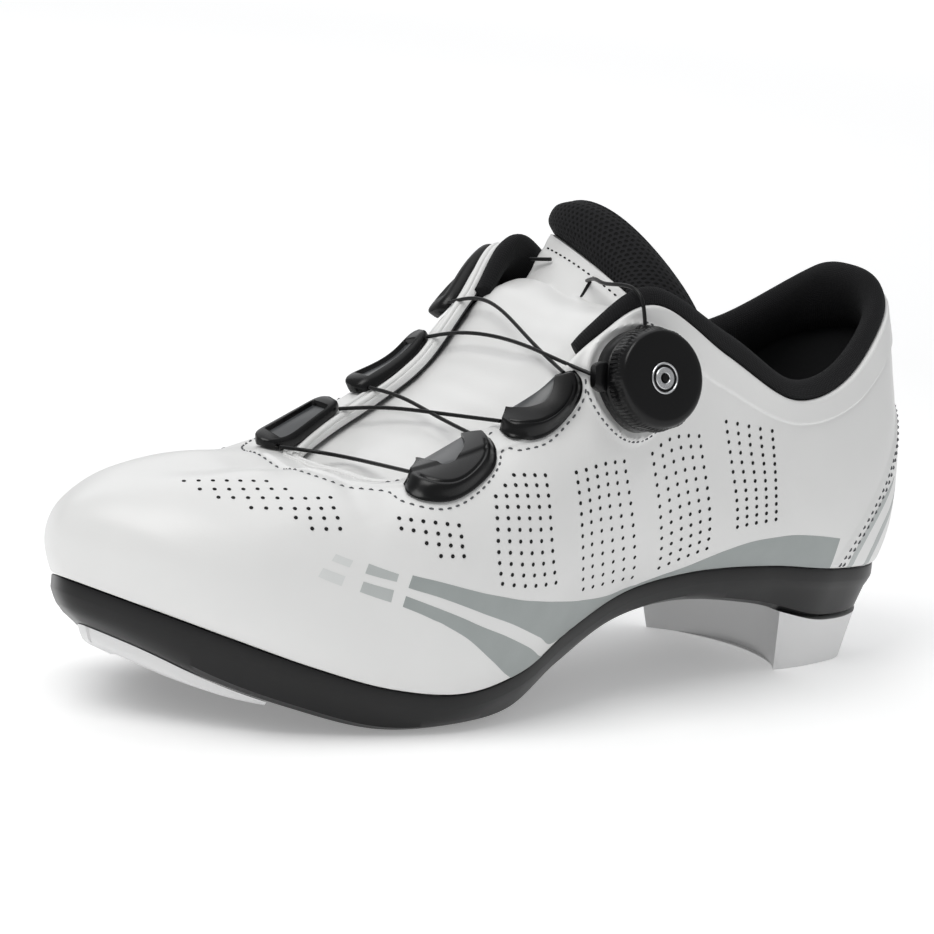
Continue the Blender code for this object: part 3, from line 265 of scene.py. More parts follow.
def plan_outline(inset, count):
    """Feather line in plan, set in by a distance, from the toe round the outer side."""
    p = np.arange(count) / count
    line = skin(p, 0.0)
    chord = np.roll(line, -1, 0) - np.roll(line, 1, 0)
    outward = np.stack([chord[:, 1], -chord[:, 0]], 1)
    outward = unit(outward)
    return line[:, :2] - outward * inset


def base_at(x):
    """Underside of the plate."""
    return side_height(x, "base")


def feather_at(x):
    """Top of the plate."""
    return side_height(x, "feather")


def span_at(x, inset):
    """Outer and inner side of the inset outline at a place along the shoe."""
    plan = plan_outline(inset, 240)
    toe = int(np.argmax(plan[:, 0]))
    heel = int(np.argmin(plan[:, 0]))
    plan = np.roll(plan, -toe, 0)
    heel = (heel - toe) % 240
    outer = plan[:heel + 1][::-1]
    inner = np.vstack([plan[heel:], plan[:1]])
    return np.interp(x, outer[:, 0], outer[:, 1]), np.interp(x, inner[:, 0], inner[:, 1])


def throat_row(x, depth, crown):
    """Curve across the throat at a place along the shoe, laid under both edges."""
    sides = []
    for low, high in ((0.02, 0.30), (0.70, 0.98)):
        p = np.linspace(low, high, 400)
        edge = skin(p, 1.0)
        mid = np.argmin(np.abs(edge[:, 0] - x))
        sides.append(p[mid])
    t = np.array([THROAT_LAP, 0.5 + THROAT_LAP / 2.0, 1.0])
    outer = skin(np.full(3, sides[0]), t) - skin_normal(np.full(3, sides[0]), t) * depth
    inner = skin(np.full(3, sides[1]), t) - skin_normal(np.full(3, sides[1]), t) * depth
    middle = (outer[2] + inner[2]) / 2.0
    middle[2] += crown
    line = np.vstack([outer, middle[None], inner[::-1]])
    knots = run_along(line)
    return hermite(knots, line, np.linspace(0.0, knots[-1], TONGUE_COLUMNS))


def top_row(row, count=TONGUE_COLUMNS):
    """Curve across the free top of the tongue; the row holds shares of length, height and width."""
    x, x_tilt, x_bend, height, tilt, bend, half = row
    v = np.linspace(1.0, -1.0, count)
    return np.column_stack([(x + x_tilt * v + x_bend * v ** 2) * SOLE_LENGTH - HEEL_TO_ORIGIN,
                            (TONGUE_CENTRE + half * v) * BALL_WIDTH,
                            (height + tilt * v + bend * v ** 2) * COLLAR_HEIGHT])


def tongue_surface():
    """Rows of the tongue's outer face, from under the vamp to the top edge."""
    rows = []
    share = np.linspace(0.085, -0.095, TONGUE_COLUMNS)
    for t in (0.80, 0.90, 0.985):
        climb = 0.80 + (t - 0.80) * (1.0 - 0.3 * np.linspace(-1.0, 1.0, TONGUE_COLUMNS) ** 4)
        rows.append(skin(share, climb) - skin_normal(share, climb) * (WALL + 0.0018))
    for share_along in THROAT_STATIONS:
        deep = WALL + 0.0013 + 0.0046 * min(1.0, max(0.0, (0.5695 - share_along) / 0.0987))
        rows.append(throat_row(share_along * SOLE_LENGTH - HEEL_TO_ORIGIN, deep, 0.0018))
    for row in TONGUE_TOP_TABLE:
        rows.append(top_row(row))
    return np.array(rows)


def surface_normals(grid):
    """Directions square to a grid of points."""
    along = np.gradient(grid, axis=0)
    across = np.gradient(grid, axis=1)
    normal = np.cross(along, across)
    normal /= np.maximum(np.linalg.norm(normal, axis=-1, keepdims=True), 1e-12)
    if normal[..., 2].mean() < 0.0:
        normal = -normal
    return normal


def below_edge(p, distance):
    """Climb share t that lies a distance below the top edge on each rib."""
    climb = np.linspace(1.0, 0.6, 41)
    place, rows = np.meshgrid(p, climb, indexing="ij")
    line = skin(place, rows)
    run = np.concatenate([np.zeros((len(p), 1)),
                          np.cumsum(np.linalg.norm(np.diff(line, axis=1), axis=2), 1)], 1)
    return np.array([np.interp(distance[i], run[i], climb) for i in range(len(p))])


def local_frame(p, t, turn=0.0, facing=None):
    """Middle point, two directions along the surface and the outward direction."""
    middle = skin(p, t)
    normal = skin_normal(np.array([p]), np.array([t]))[0]
    if facing is not None:
        normal = np.array(facing) / np.linalg.norm(facing)
    along = skin(p + 0.004, t) - skin(p - 0.004, t)
    along -= normal * np.dot(along, normal)
    along /= np.linalg.norm(along)
    up = np.cross(normal, along)
    angle = math.radians(turn)
    first = along * math.cos(angle) + up * math.sin(angle)
    return middle, first, np.cross(normal, first), normal


def places_under(frame_here, p, t, a, b, rounds=12, lowest=-np.inf, highest=np.inf):
    """Places p and t of the skin under points a and b of a fitting's own plane, by Newton steps."""
    middle, first, second = frame_here[:3]
    a = np.ravel(np.asarray(a, float))
    b = np.ravel(np.asarray(b, float))
    place = np.full(len(a), p)
    climb = np.full(len(a), t)
    step = 0.002
    for _ in range(rounds):
        here = skin(place, climb)
        miss = here - middle
        da = a - miss @ first
        db = b - miss @ second
        by_p = (skin(place + step, climb) - here) / step
        by_t = (skin(place, climb + step) - here) / step
        m11 = by_p @ first
        m12 = by_t @ first
        m21 = by_p @ second
        m22 = by_t @ second
        det = m11 * m22 - m12 * m21
        place = place + np.clip((da * m22 - db * m12) / det, -0.02, 0.02)
        climb = np.clip(climb + np.clip((db * m11 - da * m21) / det, -0.08, 0.08), lowest, highest)
    return place, climb


def drop_on(frame_here, p, t, a, b):
    """Height of the surface over a fitting's own plane, at distances a and b from its middle."""
    place, climb = places_under(frame_here, p, t, a, b)
    return (skin(place, climb) - frame_here[0]) @ frame_here[3]


def dial_frame():
    """The dial's own frame: its middle on the skin, and its axis as the photograph shows it."""
    return local_frame(DIAL_P, DIAL_T, 0.0, DIAL_FACING)


def place_beside(p, t, distance):
    """Share p reached after a distance along the shoe from a place on the skin."""
    rate = np.linalg.norm(skin(p + 0.005, t) - skin(p - 0.005, t)) / 0.01
    return p + distance / rate


def guide_port(index, end):
    """Where the lace leaves an end of a guide, and where it passes over the throat edge."""
    p, t, turn, length, width, _, hollow = GUIDE_TABLE[index][1:]
    frame_here = local_frame(p, t, turn)
    middle, first, second, normal = frame_here
    share = 0.84
    a = end * share * length / 2.0 * MM
    thin = math.sqrt(1.0 - (share * 0.985) ** 4.0) * 0.93 + 0.07
    b = (width / 2.0 * thin + hollow * (share ** 2 - 0.4) + 0.9) * MM
    under = drop_on(frame_here, p, t, np.array([a]), np.array([b]))[0]
    port = middle + a * first + b * second + (under + 0.0022) * normal
    edge_p = place_beside(p, 0.97, a)
    edge = skin(edge_p, 1.0) + skin_normal(np.array([edge_p]), np.array([1.0]))[0] * 0.0022
    return port, edge


def meeting(line_a, line_b, lift):
    """Point over the throat where two straight runs cross in plan."""
    way_a = line_a[1] - line_a[0]
    way_b = line_b[1] - line_b[0]
    gap = line_b[0] - line_a[0]
    det = way_a[1] * way_b[0] - way_a[0] * way_b[1]
    share_a = (gap[1] * way_b[0] - gap[0] * way_b[1]) / det
    share_b = (way_a[0] * gap[1] - way_a[1] * gap[0]) / det
    point_a = line_a[0] + way_a * share_a
    point_b = line_b[0] + way_b * share_b
    middle = (point_a + point_b) / 2.0
    middle[2] = max(point_a[2], point_b[2]) + lift
    return middle


def over_collar(p, height, outward):
    """Point beside the collar edge at a height over it and a distance out from it."""
    edge = skin(p, 1.0)
    up = edge - skin(p, 0.97)
    up /= np.linalg.norm(up)
    return edge + up * height + skin_normal(np.array([p]), np.array([1.0]))[0] * outward


# Printed stripes and bars, each between two lines of places on the skin, as p and t.
OUTER_STRIPE_TOP = ((0.1360, 0.438), (0.1510, 0.417), (0.1715, 0.379), (0.1920, 0.338), (0.2190, 0.267),
                    (0.2465, 0.158), (0.2750, 0.058), (0.2965, 0.020))
OUTER_STRIPE_LOW = ((0.1365, 0.396), (0.1535, 0.367), (0.1740, 0.317), (0.1955, 0.250), (0.2170, 0.145),
                    (0.2330, 0.040), (0.2550, 0.0), (0.2965, 0.0))
OUTER_BAR_TOP = ((0.1370, 0.369), (0.1485, 0.346), (0.1610, 0.317), (0.1730, 0.283), (0.1930, 0.216),
                 (0.2120, 0.120), (0.2240, 0.030), (0.2290, 0.0))
OUTER_BAR_LOW = ((0.1375, 0.333), (0.1455, 0.317), (0.1530, 0.298), (0.1595, 0.280), (0.1740, 0.224),
                 (0.1900, 0.128), (0.2010, 0.040), (0.2060, 0.0))
OUTER_HEEL_TOP = ((0.2965, 0.020), (0.3105, 0.029), (0.3265, 0.050), (0.3470, 0.117), (0.3650, 0.172),
                  (0.3850, 0.205), (0.4020, 0.205), (0.4165, 0.185))
OUTER_HEEL_LOW = ((0.2965, 0.0), (0.3105, 0.0), (0.3265, 0.0), (0.3450, 0.0), (0.3620, 0.0), (0.3790, 0.0),
                  (0.3970, 0.0), (0.4155, 0.0))
INNER_TOP = ((0.5935, 0.185), (0.6170, 0.205), (0.6500, 0.215), (0.6900, 0.245), (0.7300, 0.255),
             (0.7700, 0.215), (0.8050, 0.125), (0.8350, 0.0))
INNER_LOW = ((0.5945, 0.0), (0.6200, 0.0), (0.6500, 0.0), (0.6900, 0.0), (0.7300, 0.0), (0.7700, 0.0),
             (0.8040, 0.0), (0.8350, 0.0))
SMALL_BARS = (
    ((0.1155, 0.462), (0.1300, 0.438), (0.1305, 0.412), (0.1160, 0.425)),
    ((0.1170, 0.396), (0.1310, 0.383), (0.1320, 0.342), (0.1175, 0.358)),
)
FAINT_BARS = (
    ((0.1000, 0.468), (0.1085, 0.461), (0.1085, 0.434), (0.1000, 0.440)),
    ((0.0985, 0.405), (0.1088, 0.399), (0.1092, 0.362), (0.0985, 0.369)),
)
HEEL_BARS = (
    ((0.4275, 0.004), (0.4290, 0.100), (0.4335, 0.220), (0.4425, 0.335), (0.4530, 0.395),
     (0.4310, 0.004), (0.4325, 0.090), (0.4368, 0.200), (0.4450, 0.315), (0.4533, 0.392)),
    ((0.4400, 0.004), (0.4412, 0.090), (0.4452, 0.200), (0.4540, 0.300), (0.4640, 0.352),
     (0.4435, 0.004), (0.4447, 0.080), (0.4486, 0.180), (0.4562, 0.282), (0.4642, 0.349)),
    ((0.4700, 0.215), (0.4730, 0.262), (0.4765, 0.300), (0.4800, 0.325), (0.4850, 0.350),
     (0.4722, 0.205), (0.4750, 0.250), (0.4780, 0.287), (0.4815, 0.315), (0.4851, 0.347)),
)
# Rows of vents: first place, last place and how many.
HOLE_ROWS = (
    ((0.0175, 0.517), (0.0425, 0.658), 7), ((0.0295, 0.504), (0.0550, 0.654), 7),
    ((0.0400, 0.504), (0.0765, 0.692), 9), ((0.0550, 0.517), (0.0835, 0.646), 7),
    ((0.0735, 0.546), (0.0895, 0.608), 4), ((0.0835, 0.529), (0.0945, 0.567), 3),
    ((0.1180, 0.654), (0.1485, 0.608), 6), ((0.1215, 0.608), (0.1515, 0.567), 6),
    ((0.1360, 0.550), (0.1535, 0.533), 4), ((0.1450, 0.504), (0.1560, 0.500), 3),
)
# Blocks of vents: left and right end of the top, the middle and the lowest row, then how many rows and columns
# there are, and how many places are left out at the left of the top rows.
HOLE_BLOCKS = (
    ((0.1640, 0.778), (0.1964, 0.720), (0.1700, 0.574), (0.2028, 0.537), (0.1812, 0.398), (0.2156, 0.340),
     11, 6, (2, 1)),
    ((0.2180, 0.676), (0.2604, 0.563), (0.2284, 0.460), (0.2720, 0.347), (0.2448, 0.208), (0.2876, 0.084),
     12, 6, ()),
    ((0.2848, 0.522), (0.3204, 0.610), (0.2932, 0.318), (0.3260, 0.387), (0.3056, 0.077), (0.3324, 0.132),
     12, 6, ()),
    ((0.3380, 0.725), (0.3640, 0.790), (0.3430, 0.482), (0.3680, 0.545), (0.3480, 0.240), (0.3720, 0.300),
     12, 5, ()),
    ((0.9040, 0.700), (0.8720, 0.700), (0.9020, 0.550), (0.8680, 0.550), (0.9000, 0.400), (0.8640, 0.400),
     6, 5, (2, 1)),
    ((0.8320, 0.760), (0.7980, 0.760), (0.8310, 0.545), (0.7940, 0.545), (0.8300, 0.330), (0.7900, 0.330),
     10, 6, ()),
    ((0.7680, 0.740), (0.7340, 0.700), (0.7660, 0.550), (0.7320, 0.520), (0.7640, 0.360), (0.7300, 0.340),
     10, 6, ()),
)
# Soft creases and ridges: both ends, depth and width in millimetres; a negative depth is a ridge.
CREASES = (
    ((0.0620, 0.880), (0.1020, 0.640), 0.35, 5.0),
    ((0.1080, 0.700), (0.1120, 0.480), 0.22, 6.0),
    ((0.9500, 0.860), (0.9140, 0.620), 0.35, 5.0),
    ((0.9000, 0.760), (0.8960, 0.430), 0.25, 6.0),
    ((0.1620, 0.560), (0.1660, 0.300), 0.18, 7.0),
    ((0.8500, 0.800), (0.8440, 0.400), 0.25, 6.5),
    ((0.0300, 0.700), (0.9720, 0.700), -0.20, 8.0),
    ((0.2250, 0.720), (0.2400, 0.380), 0.15, 7.0),
)
# Seams of the upper, as lines of places on the skin.
STITCH_PATHS = (
    ((0.0020, 0.850), (0.0200, 0.822), (0.0402, 0.810), (0.0600, 0.805), (0.0774, 0.810), (0.0918, 0.828),
     (0.1020, 0.824), (0.1080, 0.790), (0.1130, 0.755), (0.1194, 0.728), (0.1284, 0.697), (0.1374, 0.680),
     (0.1464, 0.690), (0.1554, 0.725), (0.1638, 0.772), (0.1704, 0.825), (0.1745, 0.868), (0.1790, 0.868),
     (0.1830, 0.848), (0.1896, 0.838), (0.2022, 0.830), (0.2100, 0.838), (0.2166, 0.846), (0.2286, 0.856),
     (0.2350, 0.880), (0.2380, 0.915)),
    ((0.0900, 0.950), (0.1000, 0.950), (0.1080, 0.955)),
    ((0.1745, 0.965), (0.1775, 0.968), (0.1800, 0.975)),
    ((0.9990, 0.850), (0.9700, 0.845), (0.9400, 0.835), (0.9150, 0.820), (0.8960, 0.805), (0.8790, 0.800),
     (0.8400, 0.815), (0.8030, 0.805), (0.7660, 0.795), (0.7320, 0.775), (0.7150, 0.800), (0.7060, 0.870)),
)
# Crescent guides: outer edge and inner edge as places on the skin, and the two mouths of the lace.
CRESCENTS = {
    "guide_outer_front": (
        ((0.1122, 0.868), (0.1158, 0.795), (0.1236, 0.742), (0.1320, 0.716), (0.1404, 0.710), (0.1482, 0.728),
         (0.1578, 0.768), (0.1650, 0.808), (0.1690, 0.855), (0.1712, 0.900), (0.1728, 0.945)),
        ((0.1284, 1.000), (0.1292, 0.935), (0.1335, 0.880), (0.1400, 0.855), (0.1480, 0.880), (0.1555, 0.925),
         (0.1632, 1.000)),
        ((0.1170, 0.905), (0.1672, 0.982))),
    "guide_outer_rear": (
        ((0.1822, 0.955), (0.1816, 0.918), (0.1842, 0.888), (0.1920, 0.866), (0.2004, 0.856), (0.2085, 0.858),
         (0.2160, 0.864), (0.2240, 0.870), (0.2310, 0.886), (0.2350, 0.920), (0.2350, 0.965)),
        ((0.1935, 1.000), (0.1955, 0.980), (0.2005, 0.956), (0.2065, 0.946), (0.2125, 0.946), (0.2200, 0.965),
         (0.2262, 1.000)),
        ((0.1850, 0.968), (0.2300, 0.985))),
}
CRESCENT_HEIGHT = 0.0034
MOUTH_HEIGHT = 0.0019
# The photograph shows the straight guides wider than their solids.
BAR_WIDER = 1.32
# The heel counter's arched edge: middle, half width and top as p and t, and the power of its fall.
COUNTER_MIDDLE = 0.505
COUNTER_HALF = 0.088
COUNTER_TOP = 0.645
COUNTER_POWER = 3.2


def counter_line(dp, dt, count=41):
    """Line along the heel counter's edge, set in by dp and dt: t falls as a power of p's share."""
    share = np.linspace(-1.0, 1.0, count)
    top = COUNTER_TOP - dt
    return np.column_stack([COUNTER_MIDDLE + (COUNTER_HALF - dp) * share,
                            top - (top - 0.012) * np.abs(share) ** COUNTER_POWER])


def linear(hex_colour):
    """Linear RGBA of an sRGB hex colour."""
    channels = np.array([int(hex_colour[i:i + 2], 16) for i in (1, 3, 5)]) / 255.0
    channels = np.where(channels <= 0.04045, channels / 12.92, ((channels + 0.055) / 1.055) ** 2.4)
    return tuple(float(c) for c in channels) + (1.0,)


def ease(low, high, value):
    """Smooth step: 0 below low, 1 above high, with level ends."""
    share = np.clip((value - low) / (high - low), 0.0, 1.0)
    return share * share * (3.0 - 2.0 * share)


def grid_faces(rows, cols, start=0, round_rows=False, round_cols=False):
    """Quads of a grid of points stored row by row, which may be closed round its rows or its columns."""
    i = np.arange(rows if round_rows else rows - 1)[:, None]
    c = np.arange(cols if round_cols else cols - 1)[None, :]
    j = (i + 1) % rows
    d = (c + 1) % cols
    return np.stack([i * cols + c, j * cols + c, j * cols + d, i * cols + d], -1).reshape(-1, 4) + start


def closed_sheet(face, back, swell):
    """Body between two grids of one size. Its rim goes half round: its middle line stands out by the swell."""
    rows, cols = face.shape[:2]
    last_row = rows - 1
    last_col = cols - 1
    i = np.r_[np.zeros(last_col), np.arange(last_row), np.full(last_col, last_row), np.arange(last_row, 0, -1)]
    j = np.r_[np.arange(last_col), np.full(last_row, last_col), np.arange(last_col, 0, -1), np.zeros(last_row)]
    i = i.astype(int)
    j = j.astype(int)
    within = face[np.clip(i, 1, rows - 2), np.clip(j, 1, cols - 2)]
    out = face[i, j] - within
    out /= np.maximum(np.linalg.norm(out, axis=1, keepdims=True), 1e-9)
    rim = (face[i, j] + back[i, j]) / 2.0 + out * swell
    count = rows * cols
    edge = i * cols + j
    nxt = np.roll(edge, -1)
    line = 2 * count + np.arange(len(edge))
    line_next = np.roll(line, -1)
    faces = [grid_faces(rows, cols), grid_faces(rows, cols, count)[:, ::-1],
             np.stack([edge, nxt, line_next, line], 1),
             np.stack([line, line_next, nxt + count, edge + count], 1)]
    index = np.r_[np.arange(count), np.arange(count), edge]
    return np.vstack([face.reshape(-1, 3), back.reshape(-1, 3), rim]), faces, index


def loft(sections):
    """Body through closed sections, each end shut by a fan round its middle."""
    rows, cols = sections.shape[:2]
    ring = np.arange(cols)
    after = np.roll(ring, -1)
    last = (rows - 1) * cols
    faces = [grid_faces(rows, cols, 0, False, True),
             np.stack([after, ring, np.full(cols, rows * cols)], 1),
             np.stack([last + ring, last + after, np.full(cols, rows * cols + 1)], 1)]
    return np.vstack([sections.reshape(-1, 3), sections[0].mean(0)[None], sections[-1].mean(0)[None]]), faces


def joined(bodies):
    """One array of points and one list of faces from several bodies."""
    points = []
    faces = []
    start = 0
    for body in bodies:
        points.append(body[0])
        faces += [f + start for f in body[1]]
        start += len(body[0])
    return np.vstack(points), faces


def copies(template, quads, centre, first, second, third):
    """A small body set at many places: point = centre + x first + y second + z third."""
    x, y, z = (template[None, :, k:k + 1] for k in range(3))
    points = (centre[:, None] + x * first[:, None] + y * second[:, None] + z * third[:, None]).reshape(-1, 3)
    shift = (np.arange(len(centre)) * len(template))[:, None, None]
    return points, [(f[None] + shift).reshape(-1, f.shape[1]) for f in quads]


def linked(name, data):
    """New object of some data, linked to the scene."""
    obj = bpy.data.objects.new(name, data)
    bpy.context.scene.collection.objects.link(obj)
    return obj


def piece(name, body, finishes, nodes=(), uv=None, sharp=35.0, pick=None):
    """Makes the mesh object: doubles merged, faces turned outwards, edges over an angle kept sharp."""
    points, faces = body[0], body[1]
    mesh = bpy.data.meshes.new(name)
    mesh.vertices.add(len(points))
    mesh.vertices.foreach_set("co", np.ascontiguousarray(points, np.float32).ravel())
    size = np.concatenate([np.full(len(f), f.shape[1]) for f in faces])
    corner = np.concatenate([f.ravel() for f in faces]).astype(np.int32)
    mesh.loops.add(len(corner))
    mesh.loops.foreach_set("vertex_index", corner)
    mesh.polygons.add(len(size))
    mesh.polygons.foreach_set("loop_start", np.r_[0, np.cumsum(size)[:-1]].astype(np.int32))
    if pick is not None:
        mesh.polygons.foreach_set("material_index", np.asarray(pick, np.int32))
    mesh.update(calc_edges=True)
    if uv is not None:
        layer = mesh.uv_layers.new(name="surface_mm")
        layer.data.foreach_set("uv", np.ascontiguousarray(uv[corner], np.float32).ravel())
    tidy_mesh(mesh)
    mesh.polygons.foreach_set("use_smooth", np.ones(len(mesh.polygons), bool))
    mesh.set_sharp_from_angle(angle=math.radians(sharp))
    obj = linked(name, mesh)
    for finish in finishes:
        mesh.materials.append(finish)
    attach(obj, "root")
    if nodes:
        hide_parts(*nodes)
    return obj


def tidy_mesh(mesh):
    """Merges doubles, drops empty faces and turns every closed body outwards."""
    bm = bmesh.new()
    bm.from_mesh(mesh)
    bmesh.ops.remove_doubles(bm, verts=bm.verts, dist=2e-6)
    bmesh.ops.dissolve_degenerate(bm, edges=bm.edges, dist=1e-6)
    bmesh.ops.recalc_face_normals(bm, faces=bm.faces)
    bm.to_mesh(mesh)
    bm.free()


def add_node(tree, kind, sets=(), links=()):
    """Adds a shader node, sets properties and inputs by name or number, and links inputs to (node, output)."""
    node = tree.nodes.new(kind)
    for key, value in sets:
        if isinstance(key, str) and hasattr(node, key):
            setattr(node, key, value)
        else:
            node.inputs[key].default_value = value
    for key, (source, output) in links:
        tree.links.new(source.outputs[output], node.inputs[key])
    return node


def blank_finish(name):
    """A new node material, its tree and its principled shader."""
    mat = bpy.data.materials.new(name)
    mat.use_nodes = True
    return mat, mat.node_tree, mat.node_tree.nodes["Principled BSDF"]


def set_shader(shader, colour, rough, **more):
    """Constants of a finish, set on the shader's own sockets."""
    shader.inputs["Base Color"].default_value = colour
    shader.inputs["Roughness"].default_value = rough
    for key, value in more.items():
        shader.inputs[key.replace("_", " ")].default_value = value


def shade(colour, factor):
    """A colour made darker or lighter by a factor, still opaque."""
    return tuple(min(1.0, c * factor) for c in colour[:3]) + (1.0,)


def in_mm(tree, uv=False):
    """Object coordinates or the piece's own UV map, in millimetres."""
    source = add_node(tree, "ShaderNodeTexCoord")
    if uv:
        return (source, "UV")
    scaled = add_node(tree, "ShaderNodeMapping", [("Scale", (1.0 / MM,) * 3)],
                      [("Vector", (source, "Object"))])
    return (scaled, "Vector")


def add_noise(tree, place, scale, detail):
    """Noise with a scale in waves for each millimetre."""
    return add_node(tree, "ShaderNodeTexNoise", [("Scale", scale), ("Detail", detail)], [("Vector", place)])


def add_grain(tree, place, more=()):
    """Leather grain: soft round cells, as embossed on the coating."""
    return add_node(tree, "ShaderNodeTexVoronoi", [("feature", "SMOOTH_F1"), ("Scale", GRAIN_SCALE), *more],
                    [("Vector", place)])


def link_bump(tree, shader, height, strength, distance, under=()):
    """Bump of the finish on a height output. Another bump may lie under it."""
    bump = add_node(tree, "ShaderNodeBump", [("Strength", strength), ("Distance", distance)],
                    [("Height", height), *under])
    tree.links.new(bump.outputs["Normal"], shader.inputs["Normal"])
    return bump


def link_rough(tree, shader, source, low, high):
    """Roughness of the finish, from low to high with an output."""
    gloss = add_node(tree, "ShaderNodeMapRange", [("To Min", low), ("To Max", high)], [("Value", source)])
    tree.links.new(gloss.outputs["Result"], shader.inputs["Roughness"])


def link_tone(tree, shader, factor, first, second):
    """Base colour of the finish, from the first to the second with an output."""
    tone = add_node(tree, "ShaderNodeMix", [("data_type", "RGBA"), ("A", first), ("B", second)],
                    [("Factor", factor)])
    tree.links.new(tone.outputs[2], shader.inputs["Base Color"])


def microfibre_finish(name, colour, rough=0.36):
    """Coated microfibre, embossed with a fine leather grain of 0.7 mm and calendered to a soft gloss.

    A slow mottle of 25 mm keeps the white from reading as paint, and the gloss dulls a little with it."""
    mat, tree, shader = blank_finish(name)
    set_shader(shader, colour, rough, Coat_Weight=0.10, Coat_Roughness=0.32, IOR=1.47)
    place = in_mm(tree)
    grain = add_grain(tree, place, [("Smoothness", 0.6)])
    fibre = add_noise(tree, place, 0.9, 4.0)
    mottle = add_noise(tree, place, 0.04, 3.0)
    link_tone(tree, shader, (mottle, "Fac"), shade(colour, 0.93), colour)
    link_rough(tree, shader, (mottle, "Fac"), rough - 0.05, rough + 0.08)
    low = link_bump(tree, shader, (grain, "Distance"), 0.10, 0.0001)
    link_bump(tree, shader, (fibre, "Fac"), 0.06, 0.0001, [("Normal", (low, "Normal"))])
    return mat


def moulded_finish(name, colour, rough, texture_mm, strength, **more):
    """Injection moulded plastic or rubber: an even colour with the spark-eroded texture of its tool."""
    mat, tree, shader = blank_finish(name)
    set_shader(shader, colour, rough, **more)
    place = in_mm(tree)
    spark = add_noise(tree, place, 1.0 / texture_mm, 2.0)
    drift = add_noise(tree, place, 0.06, 3.0)
    link_rough(tree, shader, (drift, "Fac"), max(0.02, rough - 0.06), rough + 0.08)
    link_bump(tree, shader, (spark, "Fac"), strength, 0.0001)
    return mat


def spacer_mesh_finish(name, colour, pitch):
    """Knitted spacer mesh: two sets of round openings, half a pitch apart, in a yarn face with a dull sheen.

    The distance to the nearer middle of an opening cuts it out of the yarn, and the opening is painted near black
    as shade in the mesh's depth."""
    mat, tree, shader = blank_finish(name)
    set_shader(shader, colour, 0.8, Sheen_Weight=0.06, Sheen_Roughness=0.4, IOR=1.5, Specular_IOR_Level=0.25,
               Sheen_Tint=linear("#7A7D80"))
    place = in_mm(tree, uv=True)
    dots = []
    for shift in ((0.0, 0.0, 0.0), (0.5, 0.5, 0.0)):
        cell = add_node(tree, "ShaderNodeMapping",
                        [("Scale", (1.0 / pitch, 0.5774 / pitch, 0.0)), ("Location", shift)], [("Vector", place)])
        away = (cell, "Vector")
        for operation, sets in (("FRACTION", ()), ("SUBTRACT", [(1, (0.5, 0.5, 0.0))]),
                                ("MULTIPLY", [(1, (1.0, 1.732, 0.0))]), ("LENGTH", ())):
            step = add_node(tree, "ShaderNodeVectorMath", [("operation", operation), *sets], [(0, away)])
            away = (step, "Value" if operation == "LENGTH" else "Vector")
        dots.append(away)
    nearest = add_node(tree, "ShaderNodeMath", [("operation", "MINIMUM")], enumerate(dots))
    yarn = add_node(tree, "ShaderNodeMapRange", [("From Min", 0.20), ("From Max", 0.36)],
                    [("Value", (nearest, 0))])
    # Openings painted near black: painted shade in the depth of the mesh.
    link_tone(tree, shader, (yarn, "Result"), linear("#030303"), colour)
    link_bump(tree, shader, (yarn, "Result"), 0.9, 0.0005)
    return mat


def knit_finish(name, colour, pitch=0.7):
    """Fine warp knit: ribs 0.7 mm apart along the piece, crossed by finer courses, with a soft sheen and painted
    shade in the valleys.
    """
    mat, tree, shader = blank_finish(name)
    set_shader(shader, colour, 0.85, Sheen_Weight=0.08, Sheen_Roughness=0.45, Specular_IOR_Level=0.25,
               Sheen_Tint=linear("#8A8D90"))
    place = in_mm(tree, uv=True)
    ribs, rows = (add_node(tree, "ShaderNodeTexWave",
                           [("bands_direction", way), ("Scale", scale / pitch), ("Distortion", sway)],
                           [("Vector", place)]) for way, scale, sway in (("X", 0.314, 0.6), ("Y", 0.45, 0.8)))
    both = add_node(tree, "ShaderNodeMath", [("operation", "MULTIPLY")],
                    [(0, (ribs, "Fac")), (1, (rows, "Fac"))])
    link_bump(tree, shader, (both, 0), 0.6, 0.0003)
    # Valleys between ribs and courses painted at half the yarn's colour: painted shade.
    link_tone(tree, shader, (both, 0), shade(colour, 0.5), colour)
    return mat


def ink_finish(name, colour):
    """Grey ink screen printed on the coating: it takes the grain under it and is a little duller."""
    mat, tree, shader = blank_finish(name)
    set_shader(shader, colour, 0.42, Coat_Weight=0.05, Coat_Roughness=0.4)
    place = in_mm(tree)
    wear = add_noise(tree, place, 0.12, 5.0)
    link_tone(tree, shader, (wear, "Fac"), shade(colour, 0.90), shade(colour, 1.10))
    grain = add_grain(tree, place)
    link_bump(tree, shader, (grain, "Distance"), 0.10, 0.0001)
    return mat


def metal_finish(name, colour, rough, ring_mm=0.12):
    """Turned metal: a fine noise of 0.12 mm in the gloss stands for the rings left by the tool."""
    mat, tree, shader = blank_finish(name)
    set_shader(shader, colour, rough, Metallic=1.0)
    turned = add_noise(tree, in_mm(tree), 1.0 / ring_mm, 1.0)
    link_rough(tree, shader, (turned, "Fac"), rough - 0.06, rough + 0.10)
    return mat


FINISHES = {}
# Cells of the leather grain for each millimetre.
GRAIN_SCALE = 1.45
